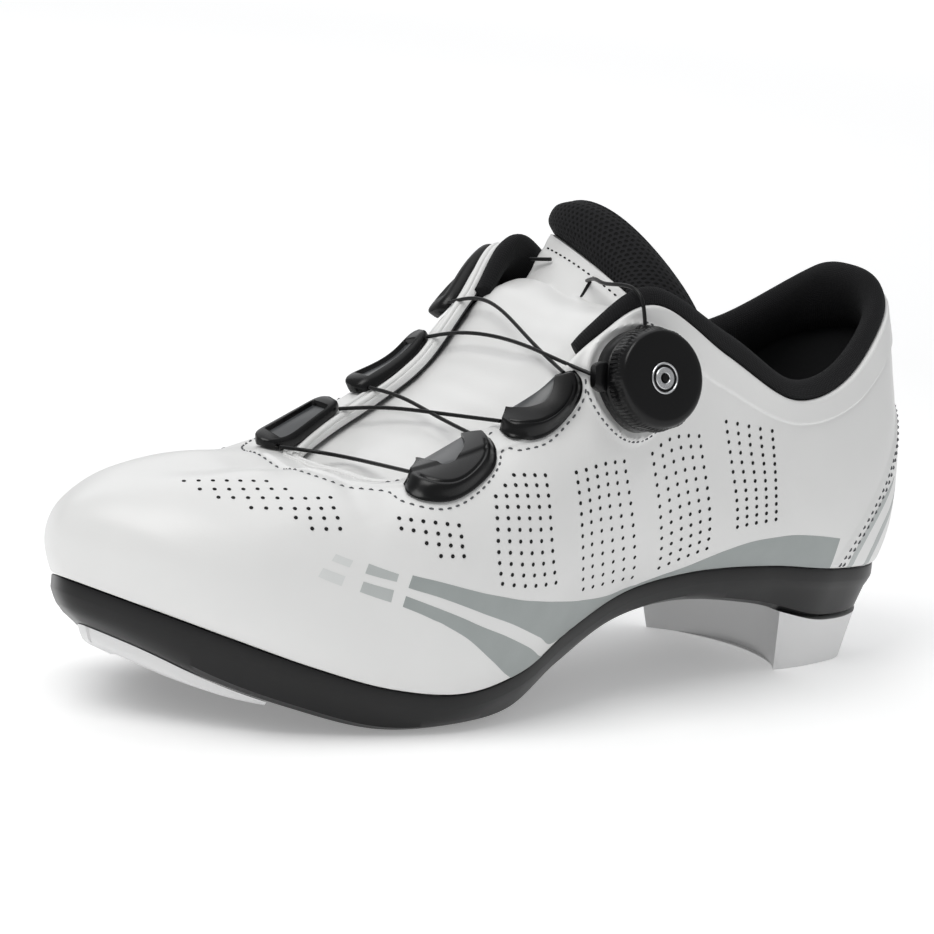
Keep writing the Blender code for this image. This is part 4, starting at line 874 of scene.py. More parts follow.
# Every finish by its real material: a maker called with the name, the scene's colours and its sizes.
FINISH_MAKERS = {
    # White coated microfibre: embossed on the upper, smoother on the tongue and the piping.
    "coated_microfibre_embossed": lambda name, c, s: microfibre_finish(name, tuple(c.upper)),
    "coated_microfibre_smooth": lambda name, c, s: microfibre_finish(name, tuple(c.upper), 0.30),
    # Screen printed inks in three greys.
    "screen_print_ink": lambda name, c, s: ink_finish(name, tuple(c.stripe)),
    "screen_print_ink_light": lambda name, c, s: ink_finish(name, tuple(c.stripe_light)),
    "screen_print_ink_faint": lambda name, c, s: ink_finish(name, linear("#DCDEDD")),
    # Glass-filled nylon of the sole: smooth, and spark textured where it meets the ground.
    "nylon_glass_filled_moulded": lambda name, c, s: moulded_finish(
        name, tuple(c.sole), 0.34, 0.5, 0.08, Specular_IOR_Level=0.34),
    "nylon_spark_textured": lambda name, c, s: moulded_finish(
        name, tuple(c.sole), 0.6, 0.9, 0.5, Specular_IOR_Level=0.34),
    # White polyurethane of the heel and toe pads.
    "tpu_white_moulded": lambda name, c, s: moulded_finish(name, tuple(c.rubber), 0.48, 0.35, 0.18, IOR=1.5),
    # Textiles: the tongue's mesh, the collar's knit and the linings.
    "spacer_mesh_knitted": lambda name, c, s: spacer_mesh_finish(name, tuple(c.mesh), s.mesh_pitch / MM),
    "collar_knit_brushed": lambda name, c, s: knit_finish(name, tuple(c.mesh)),
    "lining_knit_grey": lambda name, c, s: moulded_finish(
        name, linear("#232426"), 0.9, 0.6, 0.7, Sheen_Weight=0.1),
    # Plastics of the fittings: guides, their smoked windows and the dial.
    "polyamide_guide_moulded": lambda name, c, s: moulded_finish(
        name, tuple(c.plastic), 0.26, 0.4, 0.05, Specular_IOR_Level=0.30),
    "polycarbonate_smoked": lambda name, c, s: moulded_finish(
        name, linear("#3A3C3E"), 0.30, 0.8, 0.02, IOR=1.585),
    "abs_dial_moulded": lambda name, c, s: moulded_finish(
        name, tuple(c.plastic), 0.24, 0.5, 0.04, IOR=1.53, Specular_IOR_Level=0.28),
    # Metals: the dial's rings, the cleat screws and the coated cable of the lace.
    "aluminium_turned": lambda name, c, s: metal_finish(name, linear("#D9DADC"), 0.24),
    "steel_blackened": lambda name, c, s: metal_finish(name, linear("#55565A"), 0.32),
    "steel_cable_coated": lambda name, c, s: moulded_finish(
        name, linear("#0D0D0E"), 0.34, 0.15, 0.15, Specular_IOR_Level=0.3),
    # Polyester sewing thread, drawn grey: the grey is painted shade of the stitch holes, since the thread itself
    # is white.
    "sewing_thread_painted_shade": lambda name, c, s: moulded_finish(name, tuple(c.thread), 0.7, 0.12, 0.5),
    # Dark inside of a punched hole, as painted shade; the tongue's stitches and slit take the same painted shade.
    "vent_shadow": lambda name, c, s: moulded_finish(name, linear("#0B0B0C"), 0.9, 0.5, 0.2),
}


def finish(name):
    """The material of that name, made when it is first asked for."""
    if name not in FINISHES:
        scene = bpy.context.scene
        FINISHES[name] = FINISH_MAKERS[name](name, scene.shoe_colours, scene.shoe_sizes)
    return FINISHES[name]


def length(name, description, default):
    """A length that a user may change."""
    return bpy.props.FloatProperty(name=name, description=description, default=default, unit="LENGTH",
                                   precision=5)


def tint(name, description, hex_colour):
    """A colour that a user may change."""
    return bpy.props.FloatVectorProperty(name=name, description=description, size=4, subtype="COLOR",
                                         min=0.0, max=1.0, default=linear(hex_colour))


class ShoeSizes(bpy.types.PropertyGroup):
    """Sizes of the dressing that a user may change."""
    upper_round: bpy.props.IntProperty(name="Upper columns", description="Points round the upper", default=640)
    stitch_length: length("Stitch length", "Length of one visible stitch", 0.0015)
    stitch_pitch: length("Stitch pitch", "Distance from stitch to stitch", 0.0024)
    vent_radius: length("Vent radius", "Radius of a vent hole", 0.00051)
    film: length("Ink height", "Height of the printed stripes over the skin", 0.00005)
    lace: length("Lace diameter", "Diameter of the coated cable lace", 0.0010)
    mesh_pitch: length("Mesh pitch", "Distance between the mesh's openings", 0.0016)


class ShoeColours(bpy.types.PropertyGroup):
    """Colours of the dressing that a user may change."""
    upper: tint("Upper", "White of the coated microfibre", "#EDEDEC")
    stripe: tint("Stripe", "Grey of the printed stripes", "#9EA4A3")
    stripe_light: tint("Small bars", "Grey of the small printed bars", "#B9BDBC")
    sole: tint("Sole", "Black of the moulded sole", "#0D0D0E")
    rubber: tint("Heel pad", "White of the heel and toe pads", "#E6E6E6")
    mesh: tint("Mesh", "Black of the collar and tongue mesh", "#1C1C1E")
    plastic: tint("Fittings", "Black of the guides and dial", "#0A0A0B")
    # The thread's grey is painted shade of the stitch holes; the thread itself is white.
    thread: tint("Thread", "Grey of the sewing thread", "#55575A")


def path_on_skin(places, step=0.0004):
    """Points p and t close together along a smooth line through a few places."""
    places = np.asarray(places, float)
    flat = skin(places[:, 0], places[:, 1])
    knots = run_along(flat)
    return hermite(knots, places, np.arange(0.0, knots[-1], step))


def nearest_distance(points, line):
    """Distance of every point from a line of points close together, worked out in blocks of the line."""
    best = np.full(len(points), 1.0)
    for k in range(0, len(line), 40):
        gap = points[:, None] - line[None, k:k + 40]
        best = np.minimum(best, np.sqrt((gap ** 2).sum(-1)).min(1))
    return best


def dial_distance(points):
    """Distance of points from the dial's axis, and their height over the dial's plane."""
    middle, _, _, normal = dial_frame()
    miss = points - middle
    height = miss @ normal
    return np.linalg.norm(miss - height[:, None] * normal, axis=1), height


def relief(p, t):
    """Height of the upper's relief over the plain skin: sum of smooth steps and soft troughs.

    The eyestay and collar band and the heel counter are laid on, a ring stands round the dial, creases are
    bell-shaped troughs that fade at both ends, and the whole sways by 0.1 mm."""
    shape = np.shape(p)
    p = np.ravel(np.mod(p, 1.0))
    t = np.ravel(np.broadcast_to(t, shape))
    points = skin(p, t)
    rise = 0.6 * ease(0.862, 0.878, t)
    limit = COUNTER_TOP - COUNTER_TOP * (np.abs(p - COUNTER_MIDDLE) / COUNTER_HALF) ** COUNTER_POWER
    rise = rise + 0.5 * ease(-0.010, 0.014, limit - t)
    away, height = dial_distance(points)
    beside = np.abs(height) < 0.012
    ring = ease(12.8, 13.9, away / MM) * ease(15.4, 14.3, away / MM) * beside
    rise = np.where(beside, rise * ease(12.0, 17.0, away / MM), rise) + 0.95 * ring
    for (p0, t0), (p1, t1), depth, width in CREASES:
        if p1 - p0 > 0.5:
            p1 -= 1.0
        line = path_on_skin(((p0, t0), ((p0 + p1) / 2.0, (t0 + t1) / 2.0), (p1, t1)), 0.0015)
        spot = skin(line[:, 0], line[:, 1])
        near = np.flatnonzero(np.linalg.norm(points - spot.mean(0), axis=1) < 0.04)
        gap = nearest_distance(points[near], spot[6:-6] if len(spot) > 20 else spot)
        rise[near] -= depth * np.exp(-(gap / MM / (width * 0.5)) ** 2)
    x, y, z = (points / MM).T
    rise = rise + 0.10 * np.sin(x * 0.16 + z * 0.11) * np.sin(y * 0.19 - z * 0.13 + 0.7)
    rise = rise + 0.05 * np.sin(x * 0.37 + 2.0 * np.sin(z * 0.2))
    return (rise * ease(0.0, 0.03, t) * MM).reshape(shape)


def dressed(p, t, lift=0.0):
    """Point of the finished surface: skin, plus relief and a lift along the skin's own normal."""
    normal = skin_normal(np.ravel(p), np.ravel(t)).reshape(np.shape(p) + (3,))
    return skin(p, t) + normal * (relief(p, t) + lift)[..., None], normal


RIM_RISE = 0.0006


def make_upper(sizes):
    """Upper as one closed wall: for each p a profile goes up the dressed skin, over a flat half-round rim and
    down the inside, which is the skin set in by the wall."""
    p = np.arange(sizes.upper_round) / sizes.upper_round
    climb = np.unique(np.round(np.r_[np.linspace(0.0, 1.0, 86), np.linspace(0.858, 0.882, 6)], 5))
    place, rise = np.meshgrid(p, climb, indexing="ij")
    outer = dressed(place, rise)[0]
    down = np.linspace(1.0, 0.0, 24)
    place_in, rise_in = np.meshgrid(p, down, indexing="ij")
    inward = skin_normal(place_in.ravel(), rise_in.ravel()).reshape(place_in.shape + (3,))
    inner = skin(place_in, rise_in) - inward * WALL
    outer[:, 0, 2] += GAP
    inner[:, -1, 2] = np.maximum(outer[:, 0, 2], feather_at(inner[:, -1, 0]) + GAP + 0.0001)
    top_out = outer[:, -1]
    top_in = inner[:, 0]
    up = skin(p, 1.0) - skin(p, 0.97)
    up = unit(up)
    turn = np.linspace(0.0, math.pi, 7)[1:-1, None]
    centre = (top_out + top_in) / 2.0
    half = (top_out - top_in) / 2.0
    rim = centre[:, None] + half[:, None] * np.cos(turn) + up[:, None] * (np.sin(turn) * RIM_RISE)
    profile = np.concatenate([outer, rim, inner], 1)
    count = profile.shape[1]
    body = profile.reshape(-1, 3), [grid_faces(sizes.upper_round, count, 0, True, True)]
    column = np.tile(np.arange(count), sizes.upper_round)
    lined = (column >= outer.shape[1] + 3) & (column < count - 1)
    piece("upper_skin", body, [finish("coated_microfibre_embossed"), finish("lining_knit_grey")], ["upper"],
          sharp=50.0, pick=lined.astype(np.int32))


def band_patch(top, low, lift, steps=90, across=14):
    """Closed film between two lines on the skin: each point is the mix of the two lines at its share across."""
    count = len(top)
    query = np.linspace(0.0, count - 1.0, steps)
    upper_line = hermite(np.arange(count), np.array(top), query)
    lower_line = hermite(np.arange(count), np.array(low), query)
    share = np.linspace(0.0, 1.0, across)[None, :, None]
    grid = lower_line[:, None] * (1.0 - share) + upper_line[:, None] * share
    grid[..., 1] = np.maximum(grid[..., 1], 0.0)
    face, normal = dressed(grid[..., 0], grid[..., 1], lift)
    face[..., 2] = np.maximum(face[..., 2], feather_at(face[..., 0]) + GAP)
    return closed_sheet(face, face - normal * (lift + 0.0002), 0.0)[:2]


def make_stripes(sizes):
    """Printed stripes as thin closed films that lie on the dressed skin."""
    bodies = [band_patch(OUTER_STRIPE_TOP, OUTER_STRIPE_LOW, sizes.film, 150),
              band_patch(OUTER_BAR_TOP, OUTER_BAR_LOW, sizes.film, 120),
              band_patch(OUTER_HEEL_TOP, OUTER_HEEL_LOW, sizes.film, 110, 20),
              band_patch(INNER_TOP, INNER_LOW, sizes.film, 260, 22)]
    piece("stripes_printed", joined(bodies), [finish("screen_print_ink")], sharp=60.0)
    faint, small = ([band_patch(bar[:2], bar[:1:-1], sizes.film, 26, 10) for bar in bars]
                    for bars in (FAINT_BARS, SMALL_BARS))
    piece("faint_bars_printed", joined(faint), [finish("screen_print_ink_faint")], sharp=60.0)
    for bar in HEEL_BARS:
        for side in (0.0, 1.0):
            line = [(side * 2.0 * COUNTER_MIDDLE + (1.0 - 2.0 * side) * p, t) for p, t in bar]
            small.append(band_patch(line[:5], line[5:], sizes.film, 60, 7))
    piece("small_bars_printed", joined(small), [finish("screen_print_ink_light")], sharp=60.0)


def mixed(pair, share):
    """Point at a share of the way between two."""
    return np.array(pair[0]) * (1.0 - share) + np.array(pair[1]) * share


def hole_places():
    """Places of all vents: even steps along each row. A block's rows follow a parabola through three rows."""
    found = [mixed(row[:2], np.linspace(0.0, 1.0, row[2])[:, None]) for row in HOLE_ROWS]
    for block in HOLE_BLOCKS:
        rows, cols, missing = block[6:]
        v, u = np.meshgrid(np.linspace(0.0, 1.0, rows), np.linspace(0.0, 1.0, cols), indexing="ij")
        v = v[..., None]
        u = u[..., None]
        grid = (mixed(block[:2], u) * (1.0 - v) * (1.0 - 2.0 * v) + mixed(block[2:4], u) * 4.0 * v * (1.0 - v)
                + mixed(block[4:6], u) * v * (2.0 * v - 1.0))
        keep = np.ones((rows, cols), bool)
        for row, left in enumerate(missing):
            keep[row, :left] = False
        found.append(grid[keep])
    return np.vstack(found)


VENT_SIDES = 10
VENT_LOW = -0.0004
VENT_TOP = 0.00011


def make_vents(sizes):
    """Vent holes: ten-sided plugs sunk in the skin, tops just over the relief, dark as painted shade in each
    hole.
    """
    places = hole_places()
    centre, normal = dressed(places[:, 0], places[:, 1])
    way = skin(places[:, 0] + 0.002, places[:, 1]) - centre
    way -= normal * (way * normal).sum(1)[:, None]
    way = unit(way)
    template, quads = prism(plan_circle(0.0, 0.0, sizes.vent_radius, VENT_SIDES), VENT_LOW, VENT_TOP)
    body = copies(template, quads, centre, way, np.cross(normal, way), normal)
    # The plugs' near black is painted shade inside the vent holes.
    piece("vent_hole_shade_plugs", body, [finish("vent_shadow")], sharp=60.0)


def stitch_template(length, radius):
    """One stitch: a capsule whose middle stands over the skin and whose ends dip into it."""
    x = np.array([-0.5, -0.34, 0.0, 0.34, 0.5]) * length
    size = np.array([0.30, 0.88, 1.0, 0.88, 0.30]) * radius
    turn = full_turn(6)[None]
    rise = radius * (0.55 - 1.5 * (2.0 * x / length) ** 2)
    size = size[:, None]
    return loft(np.stack([np.broadcast_to(x[:, None], (5, 6)), size * np.cos(turn),
                          size * np.sin(turn) + rise[:, None]], -1))


def stitches_along(points, normals, pitch, length, radius=0.00026):
    """Stitches set at even steps along a line of surface points."""
    run = run_along(points)
    spots = np.arange(pitch / 2.0, run[-1], pitch)
    centre, up, ahead, behind = (
        np.stack([np.interp(spots + shift, run, values[:, i]) for i in range(3)], 1)
        for values, shift in ((points, 0.0), (normals, 0.0), (points, 0.0005), (points, -0.0005)))
    way = ahead - behind
    way -= up * (way * up).sum(1)[:, None]
    way /= np.maximum(np.linalg.norm(way, axis=1)[:, None], 1e-9)
    template, quads = stitch_template(length, radius)
    return copies(template, quads, centre, way, np.cross(up, way), up)


def make_piping(sizes):
    """Rolled edge of the throat: two cords side by side that follow the skin near its edge."""
    bodies = []
    for climb, radius in ((0.990, 0.00085), (0.955, 0.0005)):
        p = np.linspace(-0.285, 0.098, 420)
        points, normal = dressed(p, np.full(len(p), climb))
        bodies.append(tube(points + normal * radius * 0.25, radius, 12))
    piece("throat_piping", joined(bodies), [finish("coated_microfibre_smooth")], sharp=70.0)


DIAL_SEAM_RADIUS = 0.0149


def make_stitches(sizes):
    """Seams of the upper: stitches along lines on the dressed skin, and a ring of them round the dial."""
    bodies = []
    for path in STITCH_PATHS + (counter_line(0.0035, 0.022), counter_line(0.0065, 0.044)):
        line = path_on_skin(path)
        points, normal = dressed(line[:, 0], line[:, 1])
        bodies.append(stitches_along(points, normal, sizes.stitch_pitch, sizes.stitch_length))
    turn = np.linspace(math.radians(-112.0), math.radians(142.0), 240) - math.pi / 2.0
    spot_p, spot_t = places_under(dial_frame(), DIAL_P, DIAL_T, DIAL_SEAM_RADIUS * np.cos(turn),
                                  DIAL_SEAM_RADIUS * np.sin(turn), 14, 0.0, 1.02)
    inside = spot_t < 0.99
    points, up = dressed(spot_p[inside], spot_t[inside])
    bodies.append(stitches_along(points, up, 0.0019, 0.0012))
    # The stitches' grey is painted shade along the seams.
    piece("seam_stitches", joined(bodies), [finish("sewing_thread_painted_shade")], sharp=70.0)


def fine_grid(grid, rows, cols):
    """The same surface on a finer grid: smooth curves through its rows, then through its columns."""
    middle = grid[:, grid.shape[1] // 2]
    knots = run_along(middle)
    dense = hermite(knots, grid.reshape(len(grid), -1), np.linspace(0.0, knots[-1], rows)).reshape(rows, -1, 3)
    count = grid.shape[1]
    flat = np.swapaxes(dense, 0, 1).reshape(count, -1)
    dense = hermite(np.arange(count), flat, np.linspace(0.0, count - 1.0, cols)).reshape(cols, rows, 3)
    return np.swapaxes(dense, 0, 1)


def lengths_mm(grid):
    """Surface lengths of a grid in millimetres: along the middle row and the middle column."""
    across = grid[len(grid) // 2]
    along = grid[:, grid.shape[1] // 2]
    u = run_along(across) / MM
    v = run_along(along) / MM
    return np.stack(np.broadcast_arrays(u[None, :], v[:, None]), -1)


def tongue_face():
    """Rows of the dressed tongue: laid closer under the inner throat edge, and eased towards the free top.

    The three rows before the free top are lowered, so that the face rises evenly to the pad."""
    rows = tongue_surface()
    first = len(rows) - len(TONGUE_TOP_TABLE) - len(THROAT_STATIONS)
    for k, share_along in enumerate(THROAT_STATIONS):
        x = share_along * SOLE_LENGTH - HEEL_TO_ORIGIN
        near = throat_row(x, WALL + 0.0013, 0.0018)
        inward = ease(0.45, 0.80, np.linspace(0.0, 1.0, TONGUE_COLUMNS))[:, None] * ease(0.086, 0.097, x)
        rows[first + k] = rows[first + k] * (1.0 - inward) + near * inward
    for back, fall in ((3, 0.0008), (2, 0.0026), (1, 0.0056)):
        rows[len(rows) - len(TONGUE_TOP_TABLE) - back, :, 2] -= fall
    return rows


# The lace's slits in the tongue's top, as columns of its second curve.
SLIT_COLUMNS = 21
OUTER_SLIT = 8
INNER_SLIT = 16


def make_tongue(sizes):
    """Tongue: the throat's curves on a fine grid, lightly puffed between its edges, with a round rim.

    A seam of stitches crosses its top, and a bound slit lets the lace through; both are drawn near black as
    painted shade."""
    face = fine_grid(tongue_face(), 150, 56)
    normal = surface_normals(face)
    size = lengths_mm(face)
    u = size[..., 0] / size[..., 0].max() * 2.0 - 1.0
    v = size[..., 1]
    back = face - normal * TONGUE_THICKNESS
    puff = 0.35 * (1.0 - u ** 2) * ease(6.0, 26.0, v) * ease(v.max(), v.max() - 10.0, v)
    seam = np.exp(-((v - (v.max() - 2.6)) / 0.9) ** 2)
    ripple = 0.08 * np.sin(v * 0.42 + 1.4 * u) + 0.06 * np.sin(v * 0.9 - 3.0 * u)
    face = face + normal * ((puff - 0.25 * seam + ripple * (1.0 - u ** 2)) * MM)[..., None]
    points, faces, index = closed_sheet(face, back, 0.0009)
    behind = np.concatenate([np.full(len(f), k == 1) for k, f in enumerate(faces)])
    piece("tongue_shell", (points, faces), [finish("coated_microfibre_smooth"), finish("lining_knit_grey")],
          ["tongue"], uv=size.reshape(-1, 2)[index], sharp=60.0,
          pick=behind.astype(np.int32))
    line = face[-4, 3:-3]
    up = normal[-4, 3:-3]
    seam = stitches_along(line + up * 0.00002, up, 0.0023, 0.0013, 0.00024)
    spot = top_row(TONGUE_TOP_TABLE[1], SLIT_COLUMNS)[OUTER_SLIT] + np.array([0.0018, 0.0, -0.0016])
    k = np.argmin(((face.reshape(-1, 3) - spot) ** 2).sum(1))
    here, out = face.reshape(-1, 3)[k], normal.reshape(-1, 3)[k]
    way = np.array((1.0, 0.0, -0.9))
    way = unit(way - out * np.dot(way, out))
    ends = here + way * np.linspace(-1.0, 1.0, 12)[:, None] * 0.0028
    slit = tube(ends + out * 0.0001, 0.00042, 8)
    # Stitches and slit in the near-black hole finish: painted shade of their holes and opening.
    piece("tongue_stitch_and_slit_shade", joined([seam, slit]), [finish("vent_shadow")], sharp=70.0)


def make_tongue_pad(sizes):
    """Padded top of the tongue: five curves on a fine grid, swollen as a cushion that draws in at its rim."""
    outer = np.array([top_row(row) for row in TONGUE_PAD_TABLE])
    edge = surface_normals(tongue_surface())[-1]
    normal = surface_normals(outer)
    normal[0] = edge
    normal[1] = (edge + normal[1]) / np.linalg.norm(edge + normal[1], axis=1)[:, None]
    swell = np.array([0.0004, 0.0022, 0.0030, 0.0028, 0.0010])[:, None, None]
    thick = np.array([0.0032, 0.0050, 0.0058, 0.0054, 0.0036])[:, None, None]
    face = fine_grid(outer + normal * swell, 48, 96)
    back = fine_grid(outer - normal * thick, 48, 96)
    size = lengths_mm(face)
    u = size[..., 0] / size[..., 0].max() * 2.0 - 1.0
    pull = (np.abs(u) ** 6)[..., None]
    middle = (face + back) / 2.0
    face = face * (1.0 - 0.45 * pull) + middle * 0.45 * pull
    back = back * (1.0 - 0.45 * pull) + middle * 0.45 * pull
    points, faces, index = closed_sheet(face, back, 0.0012)
    piece("tongue_cushion", (points, faces), [finish("spacer_mesh_knitted")], ["tongue_pad"],
          uv=size.reshape(-1, 2)[index], sharp=70.0)


# Profile of the collar cushion as depth under the skin and rise over its edge, in millimetres: straight up the
# upper's wall, then round the lip and down the inside.
COLLAR_SEAT = 2.85
COLLAR_WALL = ((COLLAR_SEAT, -13.0), (COLLAR_SEAT, -8.0), (COLLAR_SEAT, -3.0), (COLLAR_SEAT, 0.80))
COLLAR_LIP = ((COLLAR_SEAT, 0.80), (1.6, 0.82), (0.62, 0.90), (0.34, 1.5), (0.5, 3.2), (1.0, 4.5), (1.9, 5.4),
              (3.0, 5.8), (4.2, 5.4), (5.3, 4.5), (6.1, 3.3), (6.7, 1.2), (6.9, -1.0), (6.75, -4.0),
              (6.2, -7.0), (5.1, -10.4), (3.4, -13.2))


def make_collar(sizes):
    """Collar cushion: the profile of depth and rise is a smooth closed curve, carried round the collar's edge.

    It thins towards both ends of the collar."""
    count = 260
    p = np.linspace(COLLAR_PAD_FRONT_OUTER, COLLAR_PAD_FRONT_INNER, count)
    edge = skin(p, 1.0)
    up = unit(edge - skin(p, 0.97))
    outward = skin_normal(p, np.full(count, 1.0))
    end = np.minimum(np.arange(count), np.arange(count)[::-1]) / 45.0
    full = np.clip(end, 0.0, 1.0) ** 0.8
    lip = np.array(COLLAR_LIP)
    run = run_along(lip)
    profile = np.vstack([COLLAR_WALL, hermite(run, lip, np.linspace(0.0, run[-1], 44))[1:]])
    rings = []
    for depth, rise in profile:
        swollen = max(0.0, depth - COLLAR_SEAT) * (0.55 + 0.45 * full)
        thick = (min(depth, COLLAR_SEAT) + swollen)[:, None] * MM
        if rise > 0.0:
            height = rise * (1.0 if rise < 1.0 else 0.66 + 0.34 * full) * MM
            rings.append(edge - outward * thick + up * np.broadcast_to(height, full.shape)[:, None])
        else:
            climb = below_edge(p, -rise * (0.35 + 0.65 * full) * MM)
            rings.append(skin(p, climb) - skin_normal(p, climb) * thick)
    sections = np.stack(rings, 1)
    run_p = run_along(edge) / MM
    run_q = run_along(sections[count // 2]) / MM
    uv = np.stack(np.broadcast_arrays(run_p[:, None], run_q[None, :]), -1).reshape(-1, 2)
    piece("collar_cushion", loft(sections), [finish("collar_knit_brushed")], ["collar_lining"],
          uv=np.vstack([uv, uv[:1], uv[-1:]]), sharp=70.0)


def bar_grid(row, u, v, rise):
    """Points of a straight guide: shares u along and v across a round-ended bar, at a height over the skin.

    The ends are rounded by a power of u, and the top is domed by powers of u and v."""
    p, t, turn, length, width, height, hollow = row[1:]
    frame_here = local_frame(p, t, turn)
    middle, first, second, normal = frame_here
    cols_u, cols_v = np.meshgrid(u, v, indexing="ij")
    round_end = np.sqrt(np.clip(1.0 - (np.abs(cols_u) * 0.985) ** 5.0, 0.0, 1.0)) * 0.90 + 0.10
    a = cols_u * length / 2.0 * MM
    b = (cols_v * width * BAR_WIDER / 2.0 * round_end + hollow * (cols_u ** 2 - 0.4) - 0.8) * MM
    under = drop_on(frame_here, p, t, a, b).reshape(a.shape)
    dome = (1.0 - 0.55 * cols_v ** 8) * (1.0 - 0.6 * np.abs(cols_u) ** 9)
    low = under + (GAP + 0.0009)
    high = low + (height * (0.25 + 0.75 * dome) + 1.3 * (1.0 - cols_v) / 2.0) * MM * rise(cols_u, cols_v)
    spread = middle + a[..., None] * first + b[..., None] * second
    return spread + high[..., None] * normal, spread + low[..., None] * normal


def crescent_grid(outer, inner, u, v, height):
    """Points of a crescent guide: shares u along and v from its outer to its inner edge, at a height."""
    share = (u + 1.0) / 2.0
    low = hermite(np.linspace(0.0, 1.0, len(outer)), np.array(outer), share)
    top = hermite(np.linspace(0.0, 1.0, len(inner)), np.array(inner), share)
    mix = ((v + 1.0) / 2.0)[None, :, None]
    place = low[:, None] * (1.0 - mix) + top[:, None] * mix
    point, normal = dressed(place[..., 0], np.minimum(place[..., 1], 1.0))
    cols_u, cols_v = np.meshgrid(u, v, indexing="ij")
    return point + normal * height(cols_u, cols_v)[..., None], point + normal * (GAP + 0.0001)


def mouth(name, end):
    """Where the lace enters a crescent guide: a place on the skin, at the height of the guide's bore."""
    p, t = CRESCENTS[name][2][end]
    return dressed(np.array([p]), np.array([t]), MOUTH_HEIGHT)[0][0]


def crescent_bodies(name):
    """Housing of a crescent guide, low at its outer edge and grooved along it, and the window by its arch."""
    outer, inner = CRESCENTS[name][:2]

    def housing(u, v):
        climb = 0.30 + 0.70 * ease(-1.0, -0.42, v)
        groove = 0.10 * np.exp(-((v + 0.30) / 0.06) ** 2) * ease(0.80, 0.68, np.abs(u))
        return CRESCENT_HEIGHT * (climb - groove) * (0.62 + 0.38 * ease(1.0, 0.93, np.abs(u)))

    def window(u, v):
        return CRESCENT_HEIGHT * (0.62 - 0.10 * v ** 2)

    face, back = crescent_grid(outer, inner, np.linspace(-1.0, 1.0, 121), np.linspace(-1.0, 1.0, 29), housing)
    under = [(p, t - 0.016) for p, t in inner]
    rim = [(inner[0][0] + (inner[-1][0] - inner[0][0]) * k / 6.0, 1.0) for k in range(7)]
    pane, pane_back = crescent_grid(under, rim, np.linspace(-0.97, 0.97, 61), np.linspace(-1.0, 1.0, 17),
                                    window)
    return closed_sheet(face, back, 0.00030), closed_sheet(pane, pane_back, 0.00012)


def bar_bodies(row):
    """Housing of a straight guide with a sunk bay, and the window that lies in the bay."""
    def sunk(u, v):
        return 1.0 - 0.42 * ease(0.69, 0.61, np.abs(u)) * ease(-0.62, -0.46, v) * ease(0.70, 0.56, v)

    def level(u, v):
        return 0.68 + 0.0 * u

    face, back = bar_grid(row, np.linspace(-1.0, 1.0, 97), np.linspace(-1.0, 1.0, 41), sunk)
    pane, pane_back = bar_grid(row, np.linspace(-0.63, 0.63, 49), np.linspace(-0.57, 0.60, 21), level)
    pane_back = pane - (pane - pane_back) * 0.45
    return closed_sheet(face, back, 0.00035), closed_sheet(pane, pane_back, 0.00012)


def make_guides(sizes):
    """Lace guides: a moulded housing with a bay, and a smoked window in the bay."""
    for row in GUIDE_TABLE:
        name = row[0]
        housing, window = crescent_bodies(name) if name in CRESCENTS else bar_bodies(row)
        piece(name + "_housing", housing, [finish("polyamide_guide_moulded")], [name], sharp=42.0)
        piece(name + "_window", window, [finish("polycarbonate_smoked")], sharp=50.0)


def lathe(frame_here, radius, height, teeth=None):
    """Body turned about the axis of a frame: ring k has its radius and height, and may carry a tooth wave."""
    middle, first, second, normal = frame_here
    count = teeth.shape[1] if teeth is not None else 96
    turn = full_turn(count)
    radius = np.asarray(radius, float)[:, None]
    if teeth is not None:
        radius = radius + teeth
    radius = np.broadcast_to(radius, (len(height), count))
    return loft(middle + (radius * np.cos(turn))[..., None] * first
                + (radius * np.sin(turn))[..., None] * second
                + np.asarray(height, float)[:, None, None] * normal)


def ring_body(frame_here, inner, outer, low, high):
    """Turned ring with softly rounded edges: a closed profile carried round the axis."""
    middle, first, second, normal = frame_here
    soft = min(0.00012, (high - low) / 3.0)
    profile = np.array([(inner, low), (inner, high - soft), (inner + soft, high), (outer - soft, high),
                        (outer, high - soft), (outer, low)])
    turn = full_turn(96)[:, None]
    rings = (middle + (profile[None, :, 0] * np.cos(turn))[..., None] * first
             + (profile[None, :, 0] * np.sin(turn))[..., None] * second + profile[None, :, 1, None] * normal)
    return rings.reshape(-1, 3), [grid_faces(96, 6, 0, True, True)]


# The lace's ports on the dial's base: turn from its first direction in degrees, length and width.
DIAL_PORTS = ((180.0 - DIAL_PORT_TURN, 0.0050, 0.0078), (90.0 - DIAL_PORT_TURN, 0.0030, 0.0056))
PORT_HALF_HEIGHT = 0.0017
# The photograph shows the knob wider than its solid.
KNOB_WIDER = 1.06
KNOB_STEPS = 360
TOOTH_DEPTH = 0.00022
LOBE_DEPTH = 0.00016
LOBES = 12.0
# Rings of the knob from its foot to its middle: shares of the radius and the height, and the teeth's strength.
KNOB_LEVELS = (
    (0.900, 0.0, 0.0), (0.965, 0.03, 0.3), (0.985, 0.08, 1.0), (0.985, 0.30, 1.0), (0.982, 0.52, 1.0),
    (0.972, 0.60, 0.9), (0.958, 0.68, 0.4), (0.948, 0.76, 0.0), (0.935, 0.85, 0.0), (0.912, 0.92, 0.0),
    (0.870, 0.965, 0.0), (0.78, 0.985, 0.0), (0.60, 1.005, 0.0), (0.40, 1.018, 0.0), (0.318, 1.020, 0.0),
    (0.306, 0.985, 0.0), (0.15, 0.985, 0.0),
)
# Bright rings: inner and outer radius, and height over the knob's hollow.
TARGET_RINGS = ((0.00345, 0.00392, 0.00042), (0.00130, 0.00272, 0.00046))


